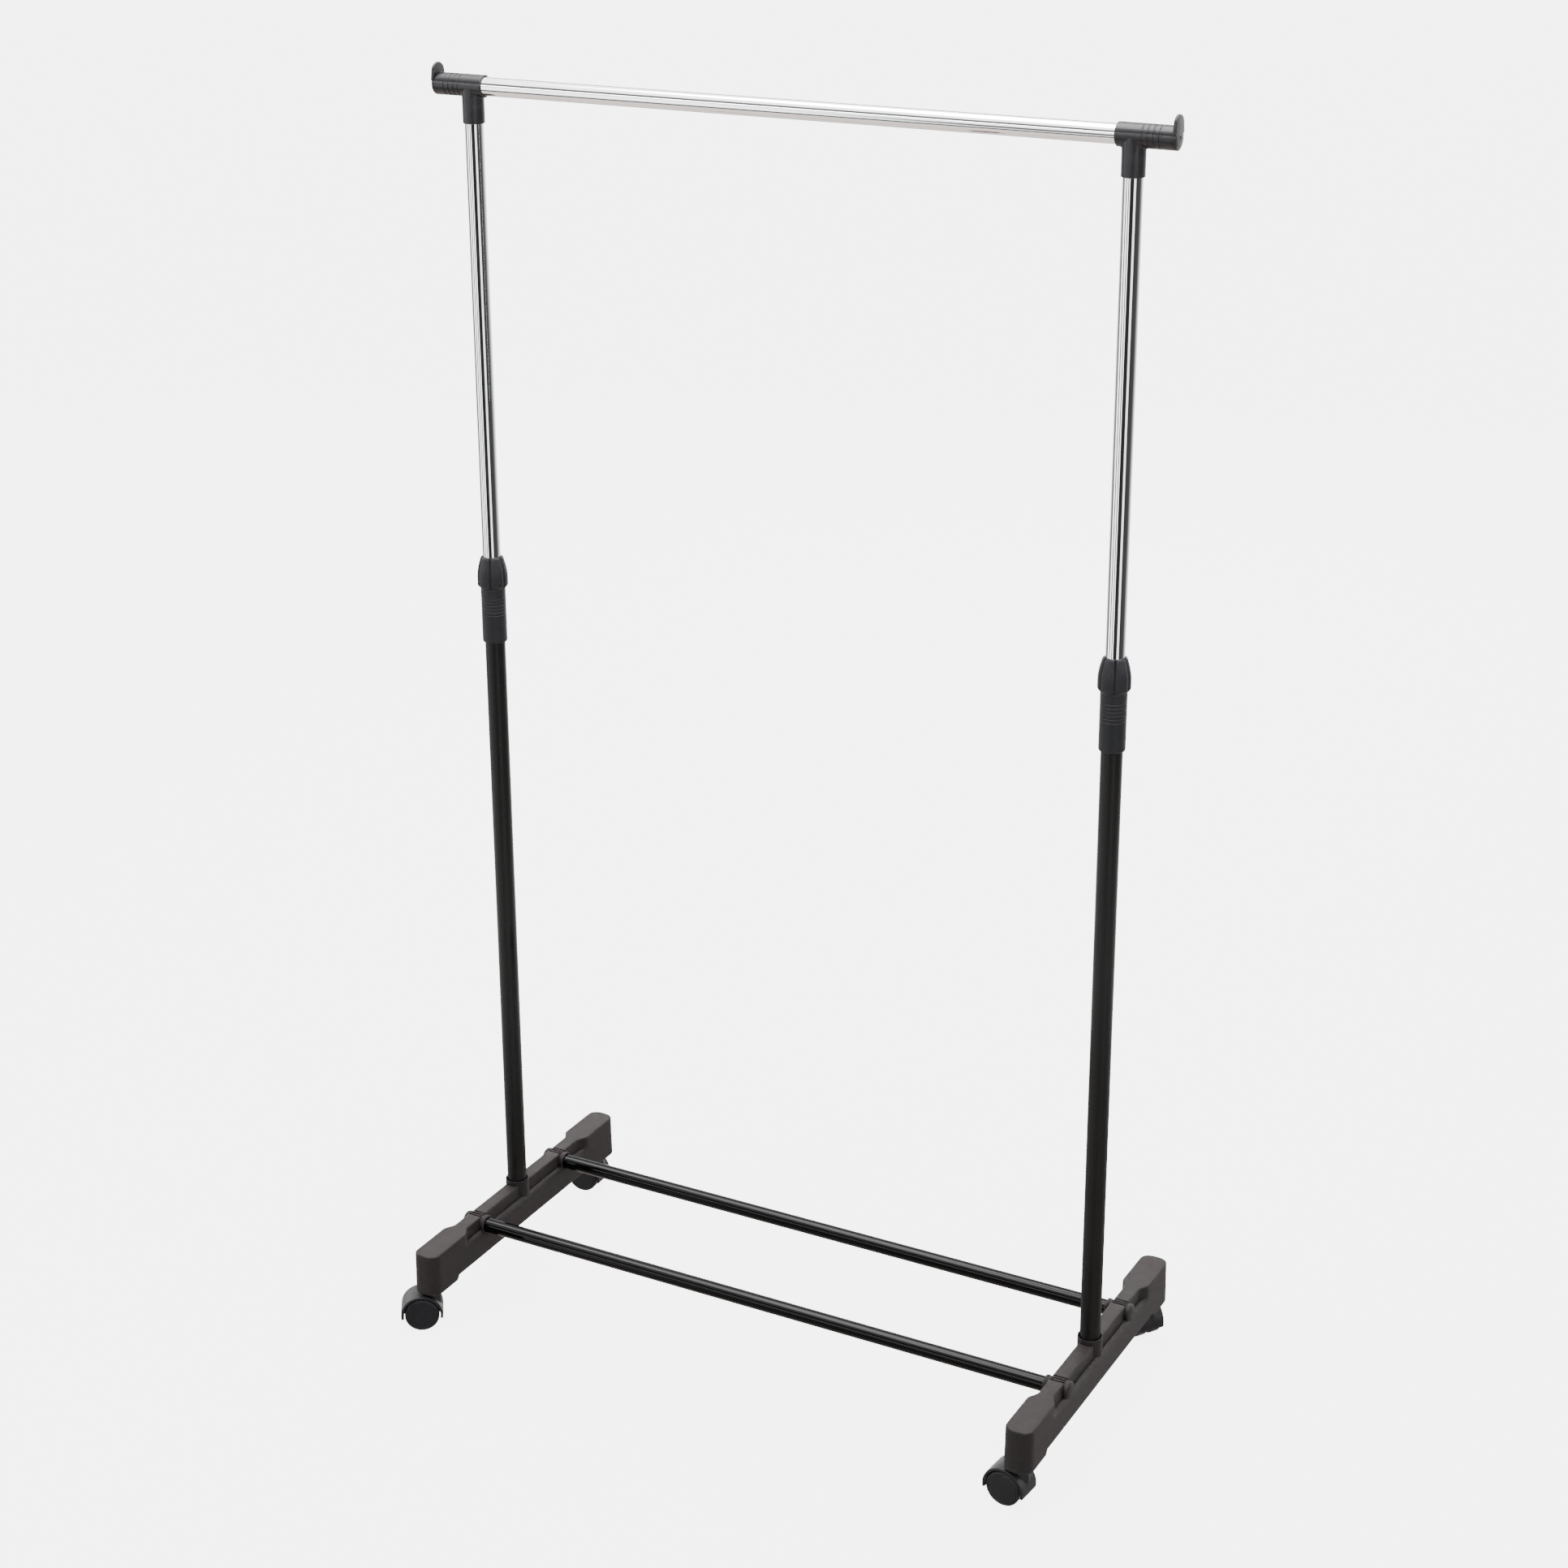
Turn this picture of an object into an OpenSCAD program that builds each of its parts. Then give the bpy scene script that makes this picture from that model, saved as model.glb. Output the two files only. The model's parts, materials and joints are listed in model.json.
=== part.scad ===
// Rolling clothes rack: two wheeled feet, two telescoping posts with twist locks, one hanging rail.
// X runs along the hanging rail, Y from front (-) to back (+), Z up; origin on the floor at the centre.

/* [Overall] */
// Distance between the two post axes
post_spacing = 820; // [600:10:1100]
// Length of each foot from front to back
foot_len = 438; // [380:2:560]
// Height of the hanging rail's centre above the floor as stored
rail_h = 1545; // [1250:5:1640]
// Height of the underside of the twist-lock nuts above the floor
lock_h = 937; // [800:5:1060]

/* [Tubes] */
// Outer diameter of the hanging rail and the upper posts
upper_d = 22; // [18:0.5:24]
// Wall of the hanging rail and the upper posts
upper_wall = 1; // [0.8:0.1:1.5]
// Wall of the lower posts
lower_wall = 1; // [0.8:0.1:1.5]
// Gap between an upper post and the inside of its lower post
tube_gap = 0.5; // [0.3:0.1:1]
// Length of each upper post
upper_len = 750; // [600:10:800]
// Outer diameter of the two bottom rails
brace_d = 19; // [16:0.5:20]
// Wall of the bottom rails
brace_wall = 1; // [0.8:0.1:1.5]
// Distance between the two bottom rails' axes
brace_gap = 191; // [150:1:220]

/* [Tee fittings] */
// Wall of the tee's sleeves
tee_wall = 2; // [1.5:0.1:4]
// How far the sleeve reaches beyond the post axis to its grooved end
tee_out = 46; // [36:1:70]
// How far the sleeve reaches inboard of the post axis
tee_in = 18; // [16:1:40]
// How far the branch hangs below the rail's axis
tee_drop = 43; // [36:1:70]
// Number of grip grooves on the outboard sleeve
tee_grooves = 4; // [2:1:5]
// Height of the hook stop above the sleeve
tab_h = 14; // [8:1:24]
// Width of the hook stop
tab_w = 23; // [14:1:26]

/* [Twist locks] */
// Height of a lock nut
nut_h = 39; // [34:1:50]
// Thickness of a lock nut from its mouth to the crowns of its lobes
nut_wall = 4.4; // [3.4:0.1:9]
// Wall of the lock sleeve on the lower post
sleeve_wall = 2.8; // [2:0.1:4]
// Length of the lock sleeve below the nut
sleeve_len = 70; // [50:1:100]

/* [Feet] */
// Height of a foot's end blocks
foot_h = 55; // [50:1:70]
// Height of a foot's beam between the end blocks
beam_h = 49; // [45:1:60]
// Width of the end blocks and of the lower band
foot_w = 36.5; // [34:0.5:46]
// Width of the raised spine
spine_w = 21; // [14:0.5:26]
// Height of the raised spine above the lower band's ledge
spine_h = 17; // [10:1:22]
// Length of an end block's wide top
block_len = 70; // [60:1:100]
// Wall of the moulded feet
foot_wall = 2.6; // [2:0.1:4]
// Skin between a bottom rail's boss and the top of the foot
boss_cover = 0.3; // [0:0.1:8]
// Height of the post socket's rim above the foot's top
rim_h = 6.4; // [3:0.2:15]

/* [Casters] */
// Diameter of the caster wheels
wheel_d = 44; // [38:1:46]
// Width of one caster wheel
wheel_w = 13.5; // [9:0.5:16]
// Offset of the axle behind the swivel axis
trail = 16; // [10:0.5:20]
// Gap between the top of a caster's hood and the foot's end block
caster_gap = 4; // [2:0.5:30]
// Distance of the swivel axis from the end of the foot
caster_inset = 21; // [18:1:40]
// Direction in which the front left caster trails, from +X
aim_front_left = 214; // [0:1:360]
// Direction in which the front right caster trails, from +X
aim_front_right = 175; // [0:1:360]
// Direction in which the back left caster trails, from +X
aim_back_left = 184; // [0:1:360]
// Direction in which the back right caster trails, from +X
aim_back_right = 146; // [0:1:360]

/* [Fits] */
// Radial clearance of wheels, stems and post guides
run_gap = 0.05; // [0.02:0.01:0.1]
// Gap between surfaces of moving pieces that do not guide each other
free_gap = 0.4; // [0.3:0.05:0.8]

/* [Hidden] */
$fn = 64;

cut = 1;                                  // how far a cutting shape runs past the face it cuts

// Tubes
post_x = post_spacing / 2;
upper_r = upper_d / 2;
upper_bore_r = upper_r - upper_wall;
lower_bore_r = upper_r + tube_gap;
lower_r = lower_bore_r + lower_wall;
brace_r = brace_d / 2;
brace_bore_r = brace_r - brace_wall;
brace_y = brace_gap / 2;

// Wheels and the hoods over them
wheel_r = wheel_d / 2;
hood_bore_r = wheel_r + 1.6;
hood_r = hood_bore_r + 3.4;

// Heights of the feet
boss_r = brace_r + 2.5;
brace_drop = boss_r + boss_cover;
foot_clear = wheel_r + hood_r + caster_gap;
foot_top = foot_clear + foot_h;
beam_z = foot_top - beam_h;
ledge_z = foot_top - spine_h;
brace_z = foot_top - brace_drop;
rim_z = foot_top + rim_h;

// Post socket and its bolt
socket_wall = 2.5;
socket_r = lower_r + socket_wall;
socket_floor = 4;
bolt_head_h = 4;
washer_t = 1;
post_foot_z = beam_z + bolt_head_h + washer_t + 1 + socket_floor;
bolt_r = 3;
bolt_head_r = 5;
washer_r = 6.5;
plug_h = 24;
seat_z = post_foot_z - socket_floor;
bolt_up = 16;                             // how far the bolt reaches into the post's plug

// Twist lock
neck_h = 15;                              // threaded neck of the sleeve inside the nut
neck_r = lower_r + 1.5;
shoulder_t = 4;                           // ring inside the sleeve that the lower post stops at
sleeve_r = lower_r + sleeve_wall;
sleeve_z = lock_h - sleeve_len;
neck_z = lock_h + neck_h;
post_top_z = neck_z - shoulder_t;
collet_h = 14;
collet_foot_r = neck_r - 1;
collet_tip_r = upper_r + 1.4;
collet_slit = 2;
nut_mouth_r = neck_r + free_gap;
nut_r = nut_mouth_r + nut_wall;
nut_top_r = upper_r + 2.6;
nut_lobes = 6;
lobe_depth = 1.3;
sleeve_rings = 7;
sleeve_ring_pitch = 4.2;
sleeve_ring_cut = 0.4;

// Hanging rail, tees and caps
rail_half = post_x + tee_out;
tee_r = upper_r + tee_wall;
post_stop = tee_r + 1;                    // top of the upper post below the rail's axis
upper_top_z = rail_h - post_stop;
upper_foot_z = upper_top_z - upper_len;
groove_w = 1.8;
groove_cut = 0.7;
groove_start = 11.6;                      // first groove's inboard edge, beyond the post axis
groove_pitch = 6.5;
cap_t = 3.4;
cap_dome = 1.2;
cap_r = tee_r + 0.7;
cap_plug_len = 14;
tab_t = 4;
dimple_r = 2.2;
dimple_cut = 0.8;

// Post glide
glide_h = 12;
glide_spigot = 20;
glide_wall = 2;
glide_r = lower_bore_r - run_gap;

// Bottom rail sockets in the feet
half_w = foot_w / 2;
boss_in = half_w - 2;                     // inner end of the ferrule, from the foot's middle
boss_out = half_w - 1.5;                  // outer end of the bulge
brace_reach = boss_out - 5;               // how far the rail goes past the foot's middle
brace_half = post_x + brace_reach;
screw_r = 2;
screw_head_r = 3.8;
screw_head_h = 2.4;
screw_in = brace_wall + 4;
screw_seat = 0.8;                         // spot face in the boss for a screw's head

// Foot outline
end_depth = 15;                           // length of the rounded end of a block
end_square = 0.8;                         // 1 for an elliptical end, less for a squarer one
half_len = foot_len / 2;
bend_len = 18;                            // length of the curve from block to spine
bend_steps = 12;
pad_len = 53;                             // deeper pad under each end block
pad_chamfer = beam_z - foot_clear;
top_groove_pitch = 4.5;
top_groove_w = 1.6;
top_groove_cut = 0.8;
rib_t = 2.2;
caster_y = half_len - caster_inset;

// Casters
web_t = 5;
hood_skirt = 5;                           // how far the hood's legs reach below the axle
wheel_in = web_t / 2 + 0.7;
wheel_out = wheel_in + wheel_w;
hood_w = 2 * (wheel_out + 0.5);
axle_r = 2.5;
axle_half = wheel_out - 1.8;
neck_pad_r = 9;
neck_top = foot_clear - free_gap - 0.2;
stem_r = 4;
stem_up = 34;
stem_down = 12;
ring_r = 4.6;
ring_groove = 26;                         // height of the snap bulge above the foot's underside
socket_out_r = 6.5;
caster_socket_h = 38;
caster_flange_r = 9;
caster_flange_t = 1.5;
tread_round = 2.5;

// ---------- helpers ----------

module at_left() { translate([-post_x, 0, 0]) mirror([1, 0, 0]) children(); }
module at_right() { translate([post_x, 0, 0]) children(); }
module along_x() { rotate([0, 90, 0]) children(); }
module along_y() { rotate([-90, 0, 0]) children(); }

module tube(r, bore, h) {
    difference() {
        cylinder(r = r, h = h);
        translate([0, 0, -cut]) cylinder(r = bore, h = h + 2 * cut);
    }
}

module ring_cut(r, depth, w) {
    difference() {
        cylinder(r = r + cut, h = w);
        translate([0, 0, -cut]) cylinder(r = r - depth, h = w + 2 * cut);
    }
}

// points of a quarter circle about [cx, cy] from angle a to angle b
function arc(cx, cy, r, a, b, n = 6) =
    [for (i = [0:n]) [cx + r * cos(a + (b - a) * i / n), cy + r * sin(a + (b - a) * i / n)]];

// ---------- hanging frame ----------

module top_rail() {
    color("silver") translate([-rail_half, 0, rail_h])
        along_x() tube(upper_r, upper_bore_r, 2 * rail_half);
}

// tee with its sleeve along X, outboard towards +X, in the post's own frame
module tee() {
    color("#2b2c33") translate([0, 0, rail_h]) difference() {
        union() {
            translate([-tee_in, 0, 0]) along_x() cylinder(r = tee_r, h = tee_in + tee_out);
            translate([0, 0, -tee_drop]) cylinder(r = tee_r, h = tee_drop);
        }
        translate([-tee_in - cut, 0, 0])
            along_x() cylinder(r = upper_r, h = tee_in + tee_out + 2 * cut);
        translate([0, 0, -tee_drop - cut]) cylinder(r = upper_r, h = tee_drop + cut - post_stop);
        for (i = [0:tee_grooves - 1])
            translate([groove_start + i * groove_pitch, 0, 0])
                along_x() ring_cut(tee_r, groove_cut, groove_w);
    }
}

// end cap with its hook stop, pushed into the rail's end
module rail_cap() {
    rise = tee_r + tab_h;
    tab_top_r = tab_w / 2 - 2;
    color("#26272b") translate([tee_out, 0, rail_h]) {
        difference() {
            union() {
                along_x() rotate_extrude() polygon(concat(
                    [[0, 0], [cap_r, 0], [cap_r, cap_t - 1.5]],
                    arc(cap_r - 1.5, cap_t - 1.5, 1.5, 0, 75),
                    [[0, cap_t + cap_dome]]));
                hull() {
                    translate([0, -tab_w / 2, 0]) cube([tab_t, tab_w, tee_r]);
                    translate([0, 0, rise - tab_top_r]) along_x() cylinder(r = tab_top_r, h = tab_t);
                }
            }
            translate([cap_t + cap_dome - dimple_cut, 0, 0])
                along_x() cylinder(r1 = dimple_r / 2, r2 = dimple_r, h = dimple_cut + cut);
        }
        translate([-cap_plug_len, 0, 0]) along_x() cylinder(r = upper_bore_r, h = cap_plug_len + cut);
    }
}

module upper_post() {
    color("silver") translate([0, 0, upper_foot_z]) tube(upper_r, upper_bore_r, upper_len);
}

module post_glide() {
    color("#d8d8d2") translate([0, 0, upper_foot_z - glide_h]) difference() {
        union() {
            cylinder(r = glide_r, h = glide_h);
            cylinder(r = upper_bore_r, h = glide_h + glide_spigot);
        }
        translate([0, 0, -cut])
            cylinder(r = upper_bore_r - glide_wall, h = glide_h + glide_spigot + 2 * cut);
    }
}

// ---------- twist lock ----------

function lobe_r(a) = nut_r - lobe_depth * pow(1 - abs(sin(nut_lobes / 2 * a)), 2);

module nut_body() {
    intersection() {
        rotate_extrude() polygon(concat(
            [[0, 0], [nut_r - 2.5, 0], [nut_r, 3.5], [nut_r, 10]],
            [for (i = [1:8]) let (u = i / 8)
                [nut_r - (nut_r - nut_top_r) * (1 - cos(90 * u)) , 10 + (nut_h - 11) * sin(90 * u)]],
            [[nut_top_r - 0.6, nut_h], [0, nut_h]]));
        linear_extrude(height = nut_h)
            polygon([for (i = [0:71]) let (a = i * 5) [lobe_r(a) * cos(a), lobe_r(a) * sin(a)]]);
    }
}

module lock_nut() {
    bell_z = neck_h + free_gap;
    color("#33333a") translate([0, 0, lock_h]) difference() {
        nut_body();
        translate([0, 0, -cut]) cylinder(r = nut_mouth_r, h = bell_z + cut);
        translate([0, 0, bell_z - 0.01])
            cylinder(r1 = nut_mouth_r, r2 = collet_tip_r + free_gap, h = collet_h + 0.01);
        translate([0, 0, bell_z]) cylinder(r = upper_r + free_gap, h = nut_h);
    }
}

module lock_collet() {
    color("#d8d8d2") translate([0, 0, neck_z]) difference() {
        cylinder(r1 = collet_foot_r, r2 = collet_tip_r, h = collet_h);
        translate([0, 0, -cut]) cylinder(r = upper_r + run_gap, h = collet_h + 2 * cut);
        translate([0, -collet_slit / 2, -cut]) cube([2 * neck_r, collet_slit, collet_h + 2 * cut]);
    }
}

module lock_sleeve() {
    ring_top = sleeve_len - 8;
    color("#33333a") translate([0, 0, sleeve_z]) difference() {
        union() {
            rotate_extrude() polygon(concat(
                [[0, 0]], arc(sleeve_r - 1.5, 1.5, 1.5, -90, 0, 4),
                [[sleeve_r, sleeve_len - free_gap], [0, sleeve_len - free_gap]]));
            cylinder(r = neck_r, h = sleeve_len + neck_h);
        }
        translate([0, 0, -cut]) cylinder(r = lower_r, h = sleeve_len + neck_h - shoulder_t + cut);
        cylinder(r = upper_r + free_gap, h = sleeve_len + neck_h + cut);
        for (i = [0:sleeve_rings - 1])
            translate([0, 0, ring_top - i * sleeve_ring_pitch])
                ring_cut(sleeve_r, sleeve_ring_cut, 1);
    }
}

module lower_post() {
    color("#1c1a19") translate([0, 0, post_foot_z])
        tube(lower_r, lower_bore_r, post_top_z - post_foot_z);
}

module post_plug() {
    color("#9a9a9a") translate([0, 0, post_foot_z]) tube(lower_bore_r, bolt_r, plug_h);
}

module post_washer() {
    color("#9a9a9a") translate([0, 0, seat_z - washer_t]) tube(washer_r, bolt_r, washer_t);
}

module post_bolt() {
    color("#9a9a9a") {
        translate([0, 0, seat_z - washer_t - bolt_head_h]) cylinder(r = bolt_head_r, h = bolt_head_h, $fn = 6);
        translate([0, 0, seat_z - washer_t]) cylinder(r = bolt_r, h = washer_t + socket_floor + bolt_up);
    }
}

// ---------- feet ----------

// half width of the foot's top at distance y from the middle
function top_half(y, w) =
    let (bend_out = half_len - block_len, u = (abs(y) - bend_out + bend_len) / bend_len)
    spine_w / 2 - (half_w - w) + (foot_w - spine_w) / 2 * (u <= 0 ? 0 : u >= 1 ? 1 : (1 - cos(180 * u)) / 2);

// a quarter of the block's rounded end at half width w
function round_end(w) = [for (i = [0:12]) let (a = 90 * i / 12)
    [w * pow(cos(a), end_square), half_len - end_depth + (end_depth - half_w + w) * pow(sin(a), end_square)]];

// one quarter of the top outline, from the spine's middle to the tip, at half width w of the blocks
function quarter(w) = concat(
    [[top_half(0, w), 0]],
    [for (i = [0:bend_steps]) let (y = half_len - block_len - bend_len + bend_len * i / bend_steps)
        [top_half(y, w), y]],
    round_end(w));

function mirrored(q) = concat(
    q, [for (i = [len(q) - 1:-1:0]) [-q[i][0], q[i][1]]],
    [for (p = q) [-p[0], -p[1]]], [for (i = [len(q) - 1:-1:0]) [q[i][0], -q[i][1]]]);

module top_outline(w) { polygon(mirrored(quarter(w))); }
module band_outline(w) { polygon(mirrored(concat([[w, 0]], round_end(w)))); }

module foot_shell(w, top, low) {
    translate([0, 0, low]) linear_extrude(height = ledge_z - low - (half_w - w)) band_outline(w);
    translate([0, 0, low + 0.5]) linear_extrude(height = top - low - 0.5) top_outline(w);
}

module end_pads() {
    for (s = [-1, 1]) intersection() {
        translate([0, 0, foot_clear]) linear_extrude(height = pad_chamfer + cut) band_outline(half_w);
        rotate([90, 0, 90]) translate([0, 0, -foot_w]) linear_extrude(height = 2 * foot_w) polygon([
            [s * (half_len - pad_len + pad_chamfer / 2), foot_clear], [s * (half_len + cut), foot_clear],
            [s * (half_len + cut), beam_z + cut], [s * (half_len - pad_len), beam_z + cut],
            [s * (half_len - pad_len), beam_z]]);
    }
}

module caster_spots() { for (s = [-1, 1]) translate([0, s * caster_y, 0]) children(); }
module brace_spots() { for (s = [-1, 1]) translate([0, s * brace_y, brace_z]) children(); }

module foot_outside() {
    foot_shell(half_w, foot_top, beam_z);
    end_pads();
    translate([0, 0, beam_z]) cylinder(r = socket_r, h = rim_z - beam_z);
    brace_spots() translate([-boss_in, 0, 0]) along_x() cylinder(r = boss_r, h = boss_in + boss_out);
}

module foot_inside() {
    difference() {
        union() {
            foot_shell(half_w - foot_wall, foot_top - foot_wall, beam_z - cut);
            translate([0, 0, foot_clear - cut]) linear_extrude(height = pad_chamfer + 2 * cut)
                intersection() {
                    band_outline(half_w - foot_wall);
                    for (s = [-1, 1]) translate([-foot_w, s * half_len - (pad_len - 4)])
                        square([2 * foot_w, 2 * (pad_len - 4)]);
                }
        }
        translate([0, 0, seat_z]) cylinder(r = socket_r, h = foot_h);
        brace_spots() translate([-foot_w, 0, 0]) along_x() cylinder(r = boss_r, h = 2 * foot_w);
        caster_spots() translate([0, 0, foot_clear - 2 * cut])
            cylinder(r = caster_flange_r + 1, h = foot_h);
        for (s = [-1, 1], k = [0, 1]) translate([-foot_w, s * (brace_y * (0.5 + 1.05 * k)) - rib_t / 2, beam_z])
            cube([2 * foot_w, rib_t, foot_h]);
    }
}

// foot in its own frame, outboard towards +X
module foot() {
    color("#3d3a3b") difference() {
        foot_outside();
        foot_inside();
        translate([0, 0, post_foot_z]) cylinder(r = lower_r, h = foot_h + rim_h);
        translate([0, 0, beam_z - cut]) cylinder(r = bolt_r, h = foot_h);
        translate([0, 0, beam_z - cut]) cylinder(r = washer_r + 1, h = seat_z - beam_z + cut);
        brace_spots() {
            translate([-2 * foot_w, 0, 0]) along_x() cylinder(r = brace_r, h = 2 * foot_w + brace_reach);
            translate([0, 0, -foot_h]) cylinder(r = screw_r, h = foot_h);
            translate([0, 0, -foot_h]) cylinder(r = screw_head_r + free_gap, h = foot_h - boss_r + screw_seat);
        }
        brace_spots() for (k = [-1:1])
            translate([-spine_w, k * top_groove_pitch - top_groove_w / 2, brace_drop - top_groove_cut])
                cube([2 * spine_w, top_groove_w, foot_h]);
        caster_spots() translate([0, 0, foot_clear - cut]) {
            cylinder(r = socket_out_r, h = caster_socket_h + cut);
            cylinder(r = caster_flange_r, h = caster_flange_t + cut);
        }
    }
}

module rail_screws() {
    color("#9a9a9a") for (s = [-1, 1]) translate([0, s * brace_y, brace_z - boss_r]) {
        translate([0, 0, screw_seat - screw_head_h]) cylinder(r = screw_head_r, h = screw_head_h);
        cylinder(r = screw_r, h = boss_r - brace_r + screw_in);
    }
}

module bottom_rail(y) {
    color("#141416") translate([0, y, brace_z]) difference() {
        translate([-brace_half, 0, 0]) along_x() tube(brace_r, brace_bore_r, 2 * brace_half);
        for (s = [-1, 1]) translate([s * post_x, 0, -brace_d]) cylinder(r = screw_r, h = brace_d);
    }
}

// ---------- casters, in the swivel's frame with the trail along +X ----------

module caster(x, y, aim) { translate([x, y, 0]) rotate([0, 0, aim]) children(); }

module caster_socket() {
    color("#1f1f21") translate([0, 0, foot_clear]) difference() {
        union() {
            cylinder(r = socket_out_r, h = caster_socket_h);
            cylinder(r = caster_flange_r, h = caster_flange_t);
        }
        translate([0, 0, -cut]) cylinder(r = stem_r + run_gap, h = stem_up + 1 + cut);
        translate([0, 0, ring_groove - 1.5]) cylinder(r = ring_r + free_gap, h = 3);
    }
}

module caster_stem() {
    color("#b8b8b8") {
        translate([0, 0, neck_top - stem_down]) cylinder(r = stem_r, h = stem_down + stem_up);
        translate([0, 0, foot_clear + ring_groove - 0.8]) cylinder(r = ring_r, h = 1.6);
    }
}

module caster_hood() {
    color("#232427") difference() {
        intersection() {
            union() {
                translate([trail, -hood_w / 2, wheel_r]) along_y() cylinder(r = hood_r, h = hood_w);
                translate([0, 0, wheel_r]) cylinder(r = neck_pad_r, h = neck_top - wheel_r);
            }
            translate([-2 * hood_r, -hood_w, wheel_r - hood_skirt]) cube([5 * hood_r, 2 * hood_w, 2 * hood_r]);
        }
        for (s = [-1, 1]) translate([trail, s * (web_t / 2 + hood_w / 2), wheel_r])
            along_y() translate([0, 0, -hood_w / 2]) cylinder(r = hood_bore_r, h = hood_w);
        translate([trail, -hood_w, wheel_r]) along_y() cylinder(r = axle_r, h = 2 * hood_w);
        translate([0, 0, neck_top - stem_down]) cylinder(r = stem_r, h = foot_clear);
    }
}

module axle() {
    color("#b8b8b8") translate([trail, -axle_half, wheel_r]) along_y() cylinder(r = axle_r, h = 2 * axle_half);
}

module wheel(side) {
    color("#1d1e24") translate([trail, 0, wheel_r]) rotate([-90 * side, 0, 0]) translate([0, 0, wheel_in])
        rotate_extrude($fn = 96) polygon(concat(
            [[axle_r + run_gap, 0]],
            arc(wheel_r - 1, 1, 1, -90, 0, 3),
            arc(wheel_r - tread_round, wheel_w - tread_round, tread_round, 0, 90, 5),
            [[wheel_r - 4, wheel_w], [wheel_r - 4.6, wheel_w - 0.5], [0, wheel_w - 0.5],
             [0, axle_half - wheel_in + 0.3], [axle_r + run_gap, axle_half - wheel_in + 0.3]]));
}

module front_left() { caster(-post_x, -caster_y, aim_front_left) children(); }
module front_right() { caster(post_x, -caster_y, aim_front_right) children(); }
module back_left() { caster(-post_x, caster_y, aim_back_left) children(); }
module back_right() { caster(post_x, caster_y, aim_back_right) children(); }

// ---------- the rack ----------

top_rail();
at_left() tee();  // left_tee
at_right() tee();  // right_tee
at_left() rail_cap();  // left_rail_cap
at_right() rail_cap();  // right_rail_cap
at_left() upper_post();  // left_upper_post
at_right() upper_post();  // right_upper_post
at_left() post_glide();  // left_post_glide
at_right() post_glide();  // right_post_glide
at_left() lock_nut();  // left_lock_nut
at_right() lock_nut();  // right_lock_nut
at_left() lock_collet();  // left_lock_collet
at_right() lock_collet();  // right_lock_collet
at_left() lock_sleeve();  // left_lock_sleeve
at_right() lock_sleeve();  // right_lock_sleeve
at_left() lower_post();  // left_lower_post
at_right() lower_post();  // right_lower_post
at_left() post_plug();  // left_post_plug
at_right() post_plug();  // right_post_plug
at_left() post_washer();  // left_post_washer
at_right() post_washer();  // right_post_washer
at_left() post_bolt();  // left_post_bolt
at_right() post_bolt();  // right_post_bolt
at_left() foot();  // left_foot
at_right() foot();  // right_foot
bottom_rail(-brace_y);  // front_bottom_rail
bottom_rail(brace_y);  // back_bottom_rail
at_left() rail_screws();  // left_rail_screws
at_right() rail_screws();  // right_rail_screws
front_left() caster_socket();  // front_left_caster_socket
front_left() caster_stem();  // front_left_caster_stem
front_left() caster_hood();  // front_left_caster_hood
front_left() axle();  // front_left_axle
front_left() wheel(-1);  // front_left_inner_wheel
front_left() wheel(1);  // front_left_outer_wheel
front_right() caster_socket();  // front_right_caster_socket
front_right() caster_stem();  // front_right_caster_stem
front_right() caster_hood();  // front_right_caster_hood
front_right() axle();  // front_right_axle
front_right() wheel(-1);  // front_right_inner_wheel
front_right() wheel(1);  // front_right_outer_wheel
back_left() caster_socket();  // back_left_caster_socket
back_left() caster_stem();  // back_left_caster_stem
back_left() caster_hood();  // back_left_caster_hood
back_left() axle();  // back_left_axle
back_left() wheel(-1);  // back_left_inner_wheel
back_left() wheel(1);  // back_left_outer_wheel
back_right() caster_socket();  // back_right_caster_socket
back_right() caster_stem();  // back_right_caster_stem
back_right() caster_hood();  // back_right_caster_hood
back_right() axle();  // back_right_axle
back_right() wheel(-1);  // back_right_inner_wheel
back_right() wheel(1);  // back_right_outer_wheel
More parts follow.
